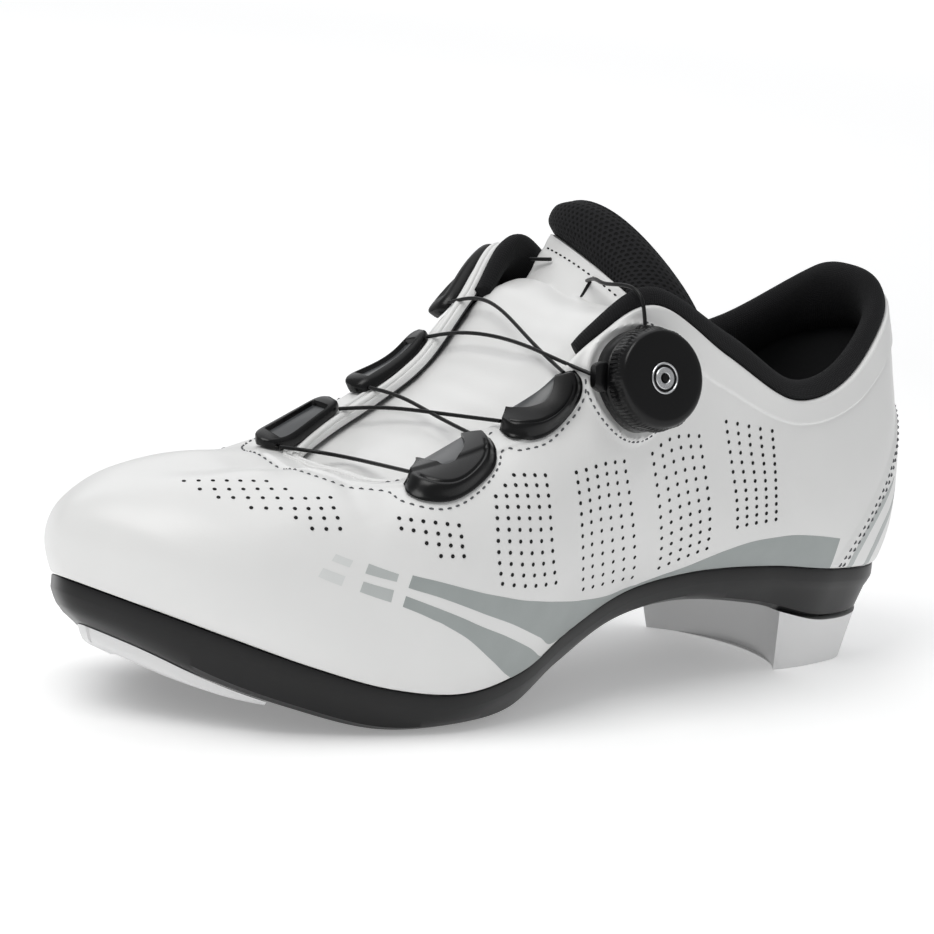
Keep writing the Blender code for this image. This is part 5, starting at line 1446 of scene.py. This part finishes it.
def port_body(frame_here, foot, angle, long_side, wide):
    """Port of the dial's base: a rounded square section carried outwards and slimmed by a power of its run."""
    middle, first, second, normal = frame_here
    way = first * math.cos(math.radians(angle)) + second * math.sin(math.radians(angle))
    side = np.cross(normal, way)
    run = np.linspace(0.0, 1.0, 15)
    turn = np.linspace(0.0, 2.0 * math.pi, 33)[:-1]
    across = np.sign(np.cos(turn)) * np.abs(np.cos(turn)) ** 0.5
    tall = np.sign(np.sin(turn)) * np.abs(np.sin(turn)) ** 0.5
    slim = (1.0 - 0.30 * run ** 4)[:, None]
    start = middle + way * (DIAL_BASE_RADIUS - 0.0022) + normal * foot
    return loft(start + (run[:, None, None] * long_side) * way + (across * slim * wide / 2.0)[..., None] * side
                + (tall * slim * PORT_HALF_HEIGHT)[..., None] * normal)


def make_dial(sizes):
    """Dial: a base seated on the skin, a domed knob with fine grip ribs, and a plain target of bright rings.

    The base is lofted through rings whose height is a share of the skin's own height under it."""
    frame_here = dial_frame()
    middle, first, second, normal = frame_here
    turn = full_turn(120)
    a = DIAL_BASE_RADIUS * np.cos(turn)
    b = DIAL_BASE_RADIUS * np.sin(turn)
    under = drop_on(frame_here, DIAL_P, DIAL_T, a, b)
    seat = max(0.0, float(np.max(drop_on(frame_here, DIAL_P, DIAL_T, a[::4], b[::4])))) + GAP + 0.0014
    flat = seat + DIAL_BASE_HEIGHT

    def ring(share, height):
        return (middle + (a * share)[:, None] * first + (b * share)[:, None] * second
                + np.broadcast_to(height, a.shape)[:, None] * normal)

    rings = [ring(0.80, flat - 0.0006), ring(0.86, flat - 0.0006), ring(0.88, flat - 0.0001), ring(0.955, flat),
             ring(0.985, flat - 0.0003), ring(1.0, flat - 0.0008), ring(1.0, under + GAP + 0.0012),
             ring(0.97, under + GAP + 0.0006), ring(0.6, under * 0.36 + GAP + 0.0012)]
    ports = [port_body(frame_here, flat - 0.0018, *port) for port in DIAL_PORTS]
    piece("dial_base_moulding", joined([loft(np.stack(rings))] + ports), [finish("polyamide_guide_moulded")],
          ["dial_base"], sharp=40.0)
    low = flat + GAP
    around = np.arange(KNOB_STEPS)
    wave = (np.where(around % 5 < 3, 1.0, 0.0) * TOOTH_DEPTH
            + LOBE_DEPTH * np.cos(around * 2.0 * math.pi / KNOB_STEPS * LOBES))
    levels = np.array(KNOB_LEVELS)
    knob = lathe(frame_here, levels[:, 0] * DIAL_RADIUS * KNOB_WIDER, low + levels[:, 1] * DIAL_HEIGHT,
                 levels[:, 2:] * wave)
    piece("dial_knob_moulding", knob, [finish("abs_dial_moulded")], ["dial_knob"], sharp=32.0)
    top = low + 0.985 * DIAL_HEIGHT
    bright = [ring_body(frame_here, inner, outer, top, top + height) for inner, outer, height in TARGET_RINGS]
    piece("dial_target_rings", joined(bright), [finish("aluminium_turned")], ["dial_cap"], sharp=40.0)
    spot = lathe(frame_here, [0.0010, 0.00085, 0.0003], [top, top + 0.0004, top + 0.00048])
    piece("dial_centre", spot, [finish("abs_dial_moulded")], sharp=40.0)


# Points between two stops of a run, and how often its points move towards each other.
RUN_STEPS = 14
PLAIN_RELAX = 60
CROSS_RELAX = 150


def smooth_run(stops, relax):
    """Line through the stops of a run, drawn tight: each point moves many times towards its neighbours."""
    stops = np.array(stops)
    knots = run_along(stops)
    path = hermite(knots, stops, np.linspace(0.0, knots[-1], RUN_STEPS * (len(stops) - 1)))
    for _ in range(relax):
        path[1:-1] = path[1:-1] * 0.5 + (path[:-2] + path[2:]) * 0.25
    return path


def tube(path, radius, sides=10):
    """Round cord: a circle carried along the path, square to it, on one steady side direction."""
    way = np.gradient(path, axis=0)
    way = unit(way)
    rough = np.array([0.13, 0.21, 0.97]) if abs(way[:, 2].mean()) < 0.8 else np.array([0.97, 0.2, 0.1])
    side = np.cross(way, rough)
    side = unit(side)
    up = np.cross(side, way)
    turn = full_turn(sides)[None, :, None]
    return loft(path[:, None] + radius * (np.cos(turn) * side[:, None] + np.sin(turn) * up[:, None]))


def make_lace(sizes):
    """Lace: each run is a smooth line from mouth to mouth over the throat's edges, and crossings are joined."""
    inner_front, inner_middle, inner_rear = range(2, 5)
    start, start_edge = guide_port(inner_front, 1)
    runs = {"lace_front": [[start, start_edge, mouth("guide_outer_front", 0)]]}
    centre, first, second, normal = dial_frame()
    reach = DIAL_BASE_RADIUS + 0.0010
    turn = math.radians(DIAL_PORT_TURN)
    dial_front = centre + (second * math.sin(turn) - first * math.cos(turn)) * reach + normal * 0.0036
    dial_top = centre + (second * math.cos(turn) + first * math.sin(turn)) * reach + normal * 0.0038
    pairs = (
        ("lace_lower_cross", mouth("guide_outer_rear", 0), guide_port(inner_front, -1),
         mouth("guide_outer_front", 1), guide_port(inner_middle, 1)),
        ("lace_upper_cross", mouth("guide_outer_rear", 1), guide_port(inner_rear, 1),
         dial_front, guide_port(inner_middle, -1)),
    )
    for name, a0, a1, b0, b1 in pairs:
        meet = meeting((a0, a1[1]), (b0, b1[1]), 0.0003)
        below = meet - np.array([0.0, 0.0, 0.0004])
        runs[name] = [[a0, meet, a1[1], a1[0]], [b0, below, b1[1], b1[0]]]
    runs["lace_upper_cross"][1].insert(1, over_collar(0.2330, 0.0, 0.0030))
    slits = top_row(TONGUE_TOP_TABLE[1], SLIT_COLUMNS) + np.array([0.0009, 0.0, 0.0008])
    inside = DIAL_P + 0.0023
    before_slit = slits[OUTER_SLIT] * 0.7 + over_collar(inside, 0.0110, -0.0086) * 0.3
    runs["lace_top_outer"] = [[dial_top, over_collar(DIAL_P + 0.0068, 0.0050, 0.0022),
                               over_collar(DIAL_P + 0.0048, 0.0072, -0.0032),
                               over_collar(inside, 0.0080, -0.0086), before_slit, slits[OUTER_SLIT]]]
    runs["lace_top_inner"] = [[over_collar(0.7180, 0.0020, -0.0090), slits[INNER_SLIT]]]
    for name, lines in runs.items():
        relax = CROSS_RELAX if "cross" in name else PLAIN_RELAX
        bodies = [tube(smooth_run(line, relax), sizes.lace / 2.0) for line in lines]
        piece(name + "_cable", joined(bodies), [finish("steel_cable_coated")], [name], sharp=60.0)


def stacked_outline(levels, count=400, across=22):
    """Body of stacked outlines: the feather line in plan set in by a distance, at a height for each place.
    The top and the base are closed by straight rows from the outer side to the inner side."""
    rings = []
    for inset, height in levels:
        plan = plan_outline(inset, count)
        rings.append(np.column_stack([plan, height(plan[:, 0])]))
    rings = np.array(rings)
    points = [rings.reshape(-1, 3)]
    faces = [grid_faces(len(rings), count, 0, False, True)]
    start = rings.shape[0] * count
    share = np.linspace(0.0, 1.0, across)[None, :, None]
    for ring, height in ((rings[0], levels[0][1]), (rings[-1], levels[-1][1])):
        a = ring[:count // 2 + 1]
        b = ring[np.r_[0, np.arange(count - 1, count // 2 - 1, -1)]]
        rows = a[:, None] * (1.0 - share) + b[:, None] * share
        rows[:, 1:-1, 2] = height(rows[:, 1:-1, 0])
        points.append(rows.reshape(-1, 3))
        faces.append(grid_faces(count // 2 + 1, across, start))
        start += rows.shape[0] * across
    return np.vstack(points), faces


def prism(outline, low, top):
    """Upright body over a plan outline, from a level up to a height worked out for each point."""
    outline = np.asarray(outline, float)
    centre = outline.mean(0)
    plan = np.vstack([outline, centre])
    heights = top(plan[:, 0]) if callable(top) else np.full(len(plan), top)
    count = len(outline)
    points = np.vstack([np.column_stack([outline, np.full(count, low)]),
                        np.column_stack([outline, heights[:-1]]),
                        [[centre[0], centre[1], low]], [[centre[0], centre[1], heights[-1]]]])
    k = np.arange(count)
    after = np.roll(k, -1)
    return points, [np.stack([k, after, after + count, k + count], 1),
                    np.stack([after, k, np.full(count, 2 * count)], 1),
                    np.stack([k + count, after + count, np.full(count, 2 * count + 1)], 1)]


def plan_circle(x, y, radius, count=48):
    """Circle in plan."""
    turn = full_turn(count)
    return np.column_stack([x + radius * np.cos(turn), y + radius * np.sin(turn)])


def bare_object(name, body):
    """Helper object for a cut, taken away after it."""
    mesh = bpy.data.meshes.new(name)
    mesh.from_pydata(body[0].tolist(), [], [tuple(f) for group in body[1] for f in group.tolist()])
    tidy_mesh(mesh)
    return linked(name, mesh)


def cut(mesh_object, tool, operation):
    """Exact boolean, applied to the object's mesh."""
    mod = mesh_object.modifiers.new("cut", "BOOLEAN")
    mod.operation = operation
    mod.solver = "EXACT"
    mod.object = tool
    graph = bpy.context.evaluated_depsgraph_get()
    mesh = bpy.data.meshes.new_from_object(mesh_object.evaluated_get(graph))
    mesh_object.modifiers.clear()
    mesh_object.data = mesh
    bpy.data.objects.remove(tool, do_unlink=True)
    tidy_mesh(mesh)


# Cleat pad in plan: the middle and radius of its round, and how far its arms go past the screw holes.
CLEAT_MIDDLE = (0.1425, 0.0030)
CLEAT_ROUND = 0.0150
CLEAT_ARM = 0.0085
CLEAT_HOLES = (CLEAT_FRONT, CLEAT_OUTER, CLEAT_INNER)
CLEAT_HOLE_RADIUS = 0.0027
SLOT_HALF = 0.0046
# Half-moon vent at the toe: its straight side, its middle and its reach, then the grid of windows in it.
MOON_X = 0.1935
MOON_Y = -0.0032
MOON_REACH = 0.0215
MOON_POWER = 2.4
MOON_STEP = (0.0046, 0.0056)
MOON_WINDOW = (0.0034, 0.0021)
# Vent under the arch, as plan points: its recess and the window in it.
ARCH_RECESS = ((0.0780, 0.0120), (0.1060, 0.0215), (0.1088, 0.0150), (0.1095, 0.0095), (0.1088, 0.0040),
               (0.1060, -0.0022), (0.0780, 0.0022))
ARCH_WINDOW = ((0.0830, 0.0096), (0.0965, 0.0130), (0.0985, 0.0090), (0.0965, 0.0048), (0.0830, 0.0050))
REAR_VENTS = (0.0350, 0.0605)
REAR_VENT_Y = 0.0080


def cleat_outline():
    """Three-armed pad in plan: a circle that swells toward each screw hole."""
    lobes = np.linspace(0.0, 2.0 * math.pi, 120, endpoint=False)
    radius = np.full(120, CLEAT_ROUND)
    for x, y in CLEAT_HOLES:
        arm = math.atan2(y - CLEAT_MIDDLE[1], x - CLEAT_MIDDLE[0])
        far = math.hypot(x - CLEAT_MIDDLE[0], y - CLEAT_MIDDLE[1]) + CLEAT_ARM
        away = np.abs((lobes - arm + math.pi) % (2.0 * math.pi) - math.pi)
        radius = np.maximum(radius, CLEAT_ROUND + (far - CLEAT_ROUND) * np.exp(-(away / 0.42) ** 2))
    return np.column_stack([CLEAT_MIDDLE[0] + radius * np.cos(lobes),
                            CLEAT_MIDDLE[1] + radius * np.sin(lobes)])


def moon_reach(x, across):
    """Far side of the half moon over a distance from its middle: a circle's formula with its own power."""
    return x + MOON_REACH * np.sqrt(np.maximum(0.0, 1.0 - np.abs(across) ** MOON_POWER))


def box_outline(x, y, half_x, half_y):
    """Rectangle in plan round a middle."""
    return [(x + i * half_x, y + j * half_y) for i, j in ((-1, -1), (1, -1), (1, 1), (-1, 1))]


def above_base(distance):
    """Height over the plate's underside."""
    return lambda x: base_at(x) + distance


def below_feather(distance):
    """Height under the plate's top."""
    return lambda x: feather_at(x) - distance


def recesses():
    """Bodies of the screw holes, the cleat slots and the sunk fields of the vents."""
    bodies = [prism(plan_circle(x, y, CLEAT_HOLE_RADIUS), -0.002, 0.0062) for x, y in CLEAT_HOLES]
    half = np.linspace(-math.pi / 2, math.pi / 2, 17)
    for y in SLOT_ACROSS:
        slot = np.vstack([np.column_stack([x + reach * np.cos(half), y + reach * np.sin(half)])
                          for x, reach in ((SLOT_TO, SLOT_HALF), (SLOT_FROM, -SLOT_HALF))])
        bodies.append(prism(slot, -0.002, 0.0034))
    turn = np.linspace(-1.0, 1.0, 49)
    moon = np.column_stack([moon_reach(MOON_X, turn), MOON_Y - MOON_REACH * turn])
    bodies.append(prism(moon, -0.004, above_base(0.0020)))
    bodies.append(prism(ARCH_RECESS, -0.004, above_base(0.0026)))
    return bodies + [prism(box_outline(x, REAR_VENT_Y, 0.006, 0.0040), -0.004, above_base(0.0014))
                     for x in REAR_VENTS]


def windows():
    """Bodies of the small openings that go deeper into the vents' sunk fields."""
    rows, cols = np.meshgrid(np.arange(4), np.arange(7), indexing="ij")
    x0 = (MOON_X + 0.0020 + rows * MOON_STEP[0]).ravel()
    y0 = (MOON_Y + (cols - 3) * MOON_STEP[1]).ravel()
    side = np.abs(y0 - MOON_Y) + 0.0026
    keep = (side <= MOON_REACH) & (x0 + 0.0040 <= moon_reach(MOON_X - 0.0010, side / MOON_REACH))
    long_half = MOON_WINDOW[0] / 2.0
    bodies = [prism(box_outline(x + long_half, y, long_half, MOON_WINDOW[1]), 0.0, above_base(0.0044))
              for x, y in zip(x0[keep], y0[keep])]
    bodies.append(prism(ARCH_WINDOW, 0.0, above_base(0.0050)))
    return bodies + [prism(box_outline(x, REAR_VENT_Y, 0.0045, 0.0022), 0.0, above_base(0.0038))
                     for x in REAR_VENTS]


def make_outsole(sizes):
    """Sole plate: stacked outlines with a rounded band and bevel, the cleat pad joined on and vents cut in."""
    band = SOLE_BAND
    levels = (
        (0.00045, feather_at), (0.00010, below_feather(0.00012)), (0.0, below_feather(0.0005)),
        (0.0, below_feather(band - 0.0004)), (0.00012, below_feather(band + 0.0001)),
        (0.0008, lambda x: np.maximum(base_at(x) + 0.0029, feather_at(x) - band - 0.0016)),
        (0.0016, lambda x: np.maximum(base_at(x) + 0.0022, feather_at(x) - band - 0.0030)),
        (0.0034, above_base(0.0012)), (0.0052, above_base(0.0005)), (0.0060, above_base(0.0001)),
        (0.0068, base_at),
    )
    obj = bare_object("outsole_plate", stacked_outline(levels))
    cut(obj, bare_object("pad", prism(cleat_outline(), 0.0, 0.0040)), "UNION")
    cut(obj, bare_object("recesses", joined(recesses())), "DIFFERENCE")
    cut(obj, bare_object("windows", joined(windows())), "DIFFERENCE")
    mesh = obj.data
    mesh.name = obj.name
    mesh.materials.clear()
    mesh.materials.append(finish("nylon_glass_filled_moulded"))
    mesh.materials.append(finish("nylon_spark_textured"))
    centre = np.empty(len(mesh.polygons) * 3, np.float32)
    mesh.polygons.foreach_get("center", centre)
    ground = centre.reshape(-1, 3)[:, 2] < 0.0003
    mesh.polygons.foreach_set("material_index", ground.astype(np.int32))
    mesh.polygons.foreach_set("use_smooth", np.ones(len(mesh.polygons), bool))
    mesh.set_sharp_from_angle(angle=math.radians(28.0))
    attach(obj, "root")
    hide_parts("outsole")


def make_heel_pad(sizes):
    """Heel pad: sections from side to side at many stations, flat below and hollowed at the front edge."""
    stations = np.r_[np.linspace(-0.0262, -0.022, 10), np.linspace(-0.021, 0.0212, 44)]
    across = np.linspace(1.0, -1.0, 33)
    outer, inner = span_at(stations, 0.0034)
    low_outer, low_inner = span_at(stations, 0.0062)
    low_outer = np.maximum(low_outer, 0.001)
    low_inner = np.minimum(low_inner, -0.001)
    hollow = 0.009 * np.maximum(0.0, stations / 0.0212) ** 1.5
    shift = -hollow[:, None] * (1.0 - across[None] ** 2)
    top_y = ((outer + inner) / 2)[:, None] + across[None] * ((outer - inner) / 2)[:, None]
    low_y = ((low_outer + low_inner) / 2)[:, None] + across[None] * ((low_outer - low_inner) / 2)[:, None]
    x = stations[:, None] + shift
    top = np.stack([x, top_y, base_at(x) - GAP], -1)
    back = 0.0035 * np.maximum(0.0, 1.0 - (stations + 0.0262) / 0.012)
    cut_back = 0.0030 * ease(0.0165, 0.0205, stations)
    low = np.stack([stations[:, None] + shift * 1.25 - cut_back[:, None], low_y,
                    np.broadcast_to(back[:, None], x.shape)], -1)
    piece("heel_pad_block", closed_sheet(top, low, 0.0), [finish("tpu_white_moulded")], ["heel_pad"],
          sharp=30.0)


def make_toe_bumper(sizes):
    """Toe bumper: a four-sided section carried round the toe, widest and thickest in the middle."""
    along = np.linspace(-1.0, 1.0, 161)
    p = 0.004 + along * 0.088
    rim = skin(p, 0.0)
    chord = skin(p + 0.003, 0.0) - skin(p - 0.003, 0.0)
    outward = np.stack([chord[:, 1], -chord[:, 0]], 1)
    outward = unit(outward)
    width = 0.0014 + 0.0088 * (1.0 - np.abs(along) ** 2.2)
    notch = 0.0008 * np.exp(-(along / 0.03) ** 2)
    thick = 0.0010 + 0.0022 * (1.0 - np.abs(along) ** 3)
    sections = []
    for inset, depth in ((0.0072 + notch, 0.0), (0.0079 + notch, 0.55), (0.0086 + notch, 0.92),
                         (0.0092 + notch, 1.0), (0.0082 + width * 0.86, 1.0), (0.0088 + width * 0.86, 0.93),
                         (0.0086 + width, 0.0)):
        plan = rim[:, :2] - outward * inset[:, None]
        sections.append(np.column_stack([plan, base_at(plan[:, 0]) - GAP - depth * thick]))
    piece("toe_bumper_pad", loft(np.stack(sections, 1)), [finish("tpu_white_moulded")], ["toe_bumper"],
          sharp=30.0)


def make_bolts(sizes):
    """Cleat screws: a dished head turned from rings, ending in a six-sided socket."""
    for name, y in (("cleat_bolt_outer", SLOT_ACROSS[0]), ("cleat_bolt_inner", SLOT_ACROSS[1])):
        frame_here = (np.array([SLOT_FROM, y, 0.0]), np.array([1.0, 0.0, 0.0]), np.array([0.0, -1.0, 0.0]),
                      np.array([0.0, 0.0, -1.0]))
        hexagon = 0.0015 / np.cos((full_turn(96) % (math.pi / 3.0)) - math.pi / 6.0) * math.cos(math.pi / 6.0)
        radius = [0.0040, 0.0041, 0.0040, 0.0037, 0.0030, 0.0022, 0.0017, 0.0, 0.0, 0.0]
        height = [-0.0031, -0.0016, -0.0012, -0.0009, -0.0010, -0.0013, -0.0013, -0.0013, -0.0024, -0.0024]
        teeth = np.array([0.0] * 7 + [1.0, 1.0, 0.3])[:, None] * hexagon
        piece(name + "_head", lathe(frame_here, radius, height, teeth), [finish("steel_blackened")], [name],
              sharp=30.0)


def make_insole(sizes):
    """The inner sole keeps its frame mesh and gets a knitted face."""
    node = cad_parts["insole"]
    node.data.materials.clear()
    node.data.materials.append(finish("lining_knit_grey"))
    for slot in node.material_slots:
        slot.material = finish("lining_knit_grey")


WORLD_STRENGTH = 0.38
# Lamps: name, place, power, size and tone.
LAMPS = (
    ("lamp_key", (0.62, 0.10, 0.98), 4.9, 0.6, (1.0, 0.995, 0.985)),
    ("lamp_top", (-0.1, -0.2, 1.3), 3.4, 1.1, (0.985, 0.99, 1.0)),
    ("lamp_back", (-0.3, -1.0, 0.8), 2.2, 0.9, (0.985, 0.99, 1.0)),
)
LAMP_TARGET = (0.11, 0.0, 0.05)
FLOOR_HALF = 12.0
# The camera fitted to the photograph: turn, climb and roll in degrees, the point it faces and its distance.
CAMERA_TURN = 42.97
CAMERA_CLIMB = 11.17
CAMERA_ROLL = -5.88
CAMERA_TARGET = (0.107, 0.0, 0.050)
CAMERA_AWAY = 1.17673
CAMERA_LENS = 179.0
CAMERA_SHIFT = (-0.0126, 0.0180)


def make_floor():
    """Pale paper floor. It glows more far from the shoe, so that it meets the white surround unseen."""
    mesh = bpy.data.meshes.new("floor")
    corners = ((-1, -1), (1, -1), (1, 1), (-1, 1))
    mesh.from_pydata([(x * FLOOR_HALF, y * FLOOR_HALF, 0.0) for x, y in corners], [], [(0, 1, 2, 3)])
    floor = linked("floor", mesh)
    mat, tree, shader = blank_finish("floor_paper_matt")
    set_shader(shader, linear("#FCFCFC"), 0.7, Emission_Color=linear("#FFFFFF"))
    fleck = add_node(tree, "ShaderNodeTexNoise", [("Scale", 60.0), ("Detail", 2.0)])
    link_rough(tree, shader, (fleck, "Fac"), 0.6, 0.8)
    spot = add_node(tree, "ShaderNodeTexCoord")
    away = add_node(tree, "ShaderNodeVectorMath", [("operation", "LENGTH")], [(0, (spot, "Object"))])
    glow = add_node(tree, "ShaderNodeMapRange",
                    [("From Min", 0.5), ("From Max", 1.9), ("To Min", 0.26), ("To Max", 0.66)],
                    [("Value", (away, "Value"))])
    tree.links.new(glow.outputs["Result"], shader.inputs["Emission Strength"])
    mesh.materials.append(mat)


def make_lights():
    """White surround and soft lamps that face the shoe."""
    world = bpy.data.worlds.new("soft_surround")
    bpy.context.scene.world = world
    world.use_nodes = True
    background = world.node_tree.nodes["Background"]
    background.inputs["Color"].default_value = linear("#FAFBFC")
    background.inputs["Strength"].default_value = WORLD_STRENGTH
    for name, place, power, size, tone in LAMPS:
        lamp = bpy.data.lights.new(name, "AREA")
        lamp.energy = power
        lamp.size = size
        lamp.color = tone
        holder = linked(name, lamp)
        holder.location = place
        holder.rotation_euler = (Vector(LAMP_TARGET) - Vector(place)).to_track_quat("-Z", "Y").to_euler()


def make_camera():
    """Camera at the photograph's angle: it stands along a direction from its target and rolls about it."""
    turn, climb, roll = (math.radians(angle) for angle in (CAMERA_TURN, CAMERA_CLIMB, CAMERA_ROLL))
    away = np.array([math.sin(turn) * math.cos(climb), math.cos(turn) * math.cos(climb), math.sin(climb)])
    right = np.array([-math.cos(turn), math.sin(turn), 0.0])
    up = np.array([-math.sin(turn) * math.sin(climb), -math.cos(turn) * math.sin(climb), math.cos(climb)])
    axis_x = right * math.cos(roll) - up * math.sin(roll)
    axis_y = right * math.sin(roll) + up * math.cos(roll)
    place = np.array(CAMERA_TARGET) + away * CAMERA_AWAY
    camera = linked("camera", bpy.data.cameras.new("camera"))
    camera.matrix_world = Matrix(np.vstack([np.column_stack([axis_x, axis_y, away, place]),
                                            (0.0, 0.0, 0.0, 1.0)]))
    camera.data.sensor_width = 36.0
    camera.data.lens = CAMERA_LENS
    camera.data.shift_x, camera.data.shift_y = CAMERA_SHIFT
    camera.data.clip_start = 0.05
    camera.data.clip_end = 20.0
    bpy.context.scene.camera = camera


def make_stage(sizes):
    """Pale floor, white surround, soft lamps and the camera."""
    make_floor()
    make_lights()
    make_camera()
    bpy.context.scene.view_settings.view_transform = "Standard"


class SHOE_OT_upper(bpy.types.Operator):
    """Build the white upper"""
    bl_idname = "shoe.upper"
    bl_label = "Upper"

    def execute(self, context):
        make_upper(context.scene.shoe_sizes)
        return {"FINISHED"}


class SHOE_OT_stripes(bpy.types.Operator):
    """Print the grey stripes on the upper"""
    bl_idname = "shoe.stripes"
    bl_label = "Printed stripes"

    def execute(self, context):
        make_stripes(context.scene.shoe_sizes)
        return {"FINISHED"}


class SHOE_OT_vents(bpy.types.Operator):
    """Punch the vent holes"""
    bl_idname = "shoe.vents"
    bl_label = "Vent holes"

    def execute(self, context):
        make_vents(context.scene.shoe_sizes)
        return {"FINISHED"}


class SHOE_OT_piping(bpy.types.Operator):
    """Roll the edge of the throat"""
    bl_idname = "shoe.piping"
    bl_label = "Throat piping"

    def execute(self, context):
        make_piping(context.scene.shoe_sizes)
        return {"FINISHED"}


class SHOE_OT_stitches(bpy.types.Operator):
    """Sew the upper's seams"""
    bl_idname = "shoe.stitches"
    bl_label = "Seam stitches"

    def execute(self, context):
        make_stitches(context.scene.shoe_sizes)
        return {"FINISHED"}


class SHOE_OT_tongue(bpy.types.Operator):
    """Build the tongue with its stitches and slits"""
    bl_idname = "shoe.tongue"
    bl_label = "Tongue"

    def execute(self, context):
        make_tongue(context.scene.shoe_sizes)
        return {"FINISHED"}


class SHOE_OT_tongue_pad(bpy.types.Operator):
    """Build the padded top of the tongue"""
    bl_idname = "shoe.tongue_pad"
    bl_label = "Tongue cushion"

    def execute(self, context):
        make_tongue_pad(context.scene.shoe_sizes)
        return {"FINISHED"}


class SHOE_OT_collar(bpy.types.Operator):
    """Build the padded collar"""
    bl_idname = "shoe.collar"
    bl_label = "Collar cushion"

    def execute(self, context):
        make_collar(context.scene.shoe_sizes)
        return {"FINISHED"}


class SHOE_OT_guides(bpy.types.Operator):
    """Build the five lace guides"""
    bl_idname = "shoe.guides"
    bl_label = "Lace guides"

    def execute(self, context):
        make_guides(context.scene.shoe_sizes)
        return {"FINISHED"}


class SHOE_OT_dial(bpy.types.Operator):
    """Build the dial's base, knob and rings"""
    bl_idname = "shoe.dial"
    bl_label = "Lace dial"

    def execute(self, context):
        make_dial(context.scene.shoe_sizes)
        return {"FINISHED"}


class SHOE_OT_lace(bpy.types.Operator):
    """Run the cable lace through the guides"""
    bl_idname = "shoe.lace"
    bl_label = "Lace"

    def execute(self, context):
        make_lace(context.scene.shoe_sizes)
        return {"FINISHED"}


class SHOE_OT_outsole(bpy.types.Operator):
    """Build the stiff sole plate"""
    bl_idname = "shoe.outsole"
    bl_label = "Sole plate"

    def execute(self, context):
        make_outsole(context.scene.shoe_sizes)
        return {"FINISHED"}


class SHOE_OT_heel_pad(bpy.types.Operator):
    """Build the pad under the heel"""
    bl_idname = "shoe.heel_pad"
    bl_label = "Heel pad"

    def execute(self, context):
        make_heel_pad(context.scene.shoe_sizes)
        return {"FINISHED"}


class SHOE_OT_toe_bumper(bpy.types.Operator):
    """Build the pad under the toe"""
    bl_idname = "shoe.toe_bumper"
    bl_label = "Toe bumper"

    def execute(self, context):
        make_toe_bumper(context.scene.shoe_sizes)
        return {"FINISHED"}


class SHOE_OT_bolts(bpy.types.Operator):
    """Build the two cleat screws"""
    bl_idname = "shoe.bolts"
    bl_label = "Cleat screws"

    def execute(self, context):
        make_bolts(context.scene.shoe_sizes)
        return {"FINISHED"}


class SHOE_OT_insole(bpy.types.Operator):
    """Give the inner sole its knitted face"""
    bl_idname = "shoe.insole"
    bl_label = "Inner sole"

    def execute(self, context):
        make_insole(context.scene.shoe_sizes)
        return {"FINISHED"}


class SHOE_OT_stage(bpy.types.Operator):
    """Set the floor, lamps and camera"""
    bl_idname = "shoe.stage"
    bl_label = "Stage"

    def execute(self, context):
        make_stage(context.scene.shoe_sizes)
        return {"FINISHED"}


class SHOE_PT_panel(bpy.types.Panel):
    """Lists the sizes, the colours and the steps in order"""
    bl_label = "Road cycling shoe"
    bl_idname = "SHOE_PT_panel"
    bl_space_type = "VIEW_3D"
    bl_region_type = "UI"
    bl_category = "Shoe"

    def draw(self, context):
        for group in (context.scene.shoe_sizes, context.scene.shoe_colours):
            box = self.layout.box()
            for key in group.bl_rna.properties.keys():
                if key not in ("rna_type", "name"):
                    box.prop(group, key)
        for step in STEPS:
            self.layout.operator("shoe." + step)


STEPS = ("upper", "stripes", "vents", "piping", "stitches", "tongue", "tongue_pad", "collar", "guides", "dial",
         "lace", "outsole", "heel_pad", "toe_bumper", "bolts", "insole", "stage")
CLASSES = (ShoeSizes, ShoeColours, SHOE_OT_upper, SHOE_OT_stripes, SHOE_OT_vents, SHOE_OT_piping,
           SHOE_OT_stitches, SHOE_OT_tongue, SHOE_OT_tongue_pad, SHOE_OT_collar, SHOE_OT_guides, SHOE_OT_dial,
           SHOE_OT_lace, SHOE_OT_outsole, SHOE_OT_heel_pad, SHOE_OT_toe_bumper, SHOE_OT_bolts, SHOE_OT_insole,
           SHOE_OT_stage, SHOE_PT_panel)


def register():
    """Adds the classes and the two groups of settings on the scene."""
    for cls in CLASSES:
        bpy.utils.register_class(cls)
    bpy.types.Scene.shoe_sizes = bpy.props.PointerProperty(type=ShoeSizes)
    bpy.types.Scene.shoe_colours = bpy.props.PointerProperty(type=ShoeColours)


def unregister():
    """Takes the settings and the classes away again."""
    del bpy.types.Scene.shoe_colours
    del bpy.types.Scene.shoe_sizes
    for cls in reversed(CLASSES):
        bpy.utils.unregister_class(cls)


def main():
    """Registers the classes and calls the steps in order."""
    register()
    for step in STEPS:
        getattr(bpy.ops.shoe, step)()


if __name__ == "__main__":
    main()
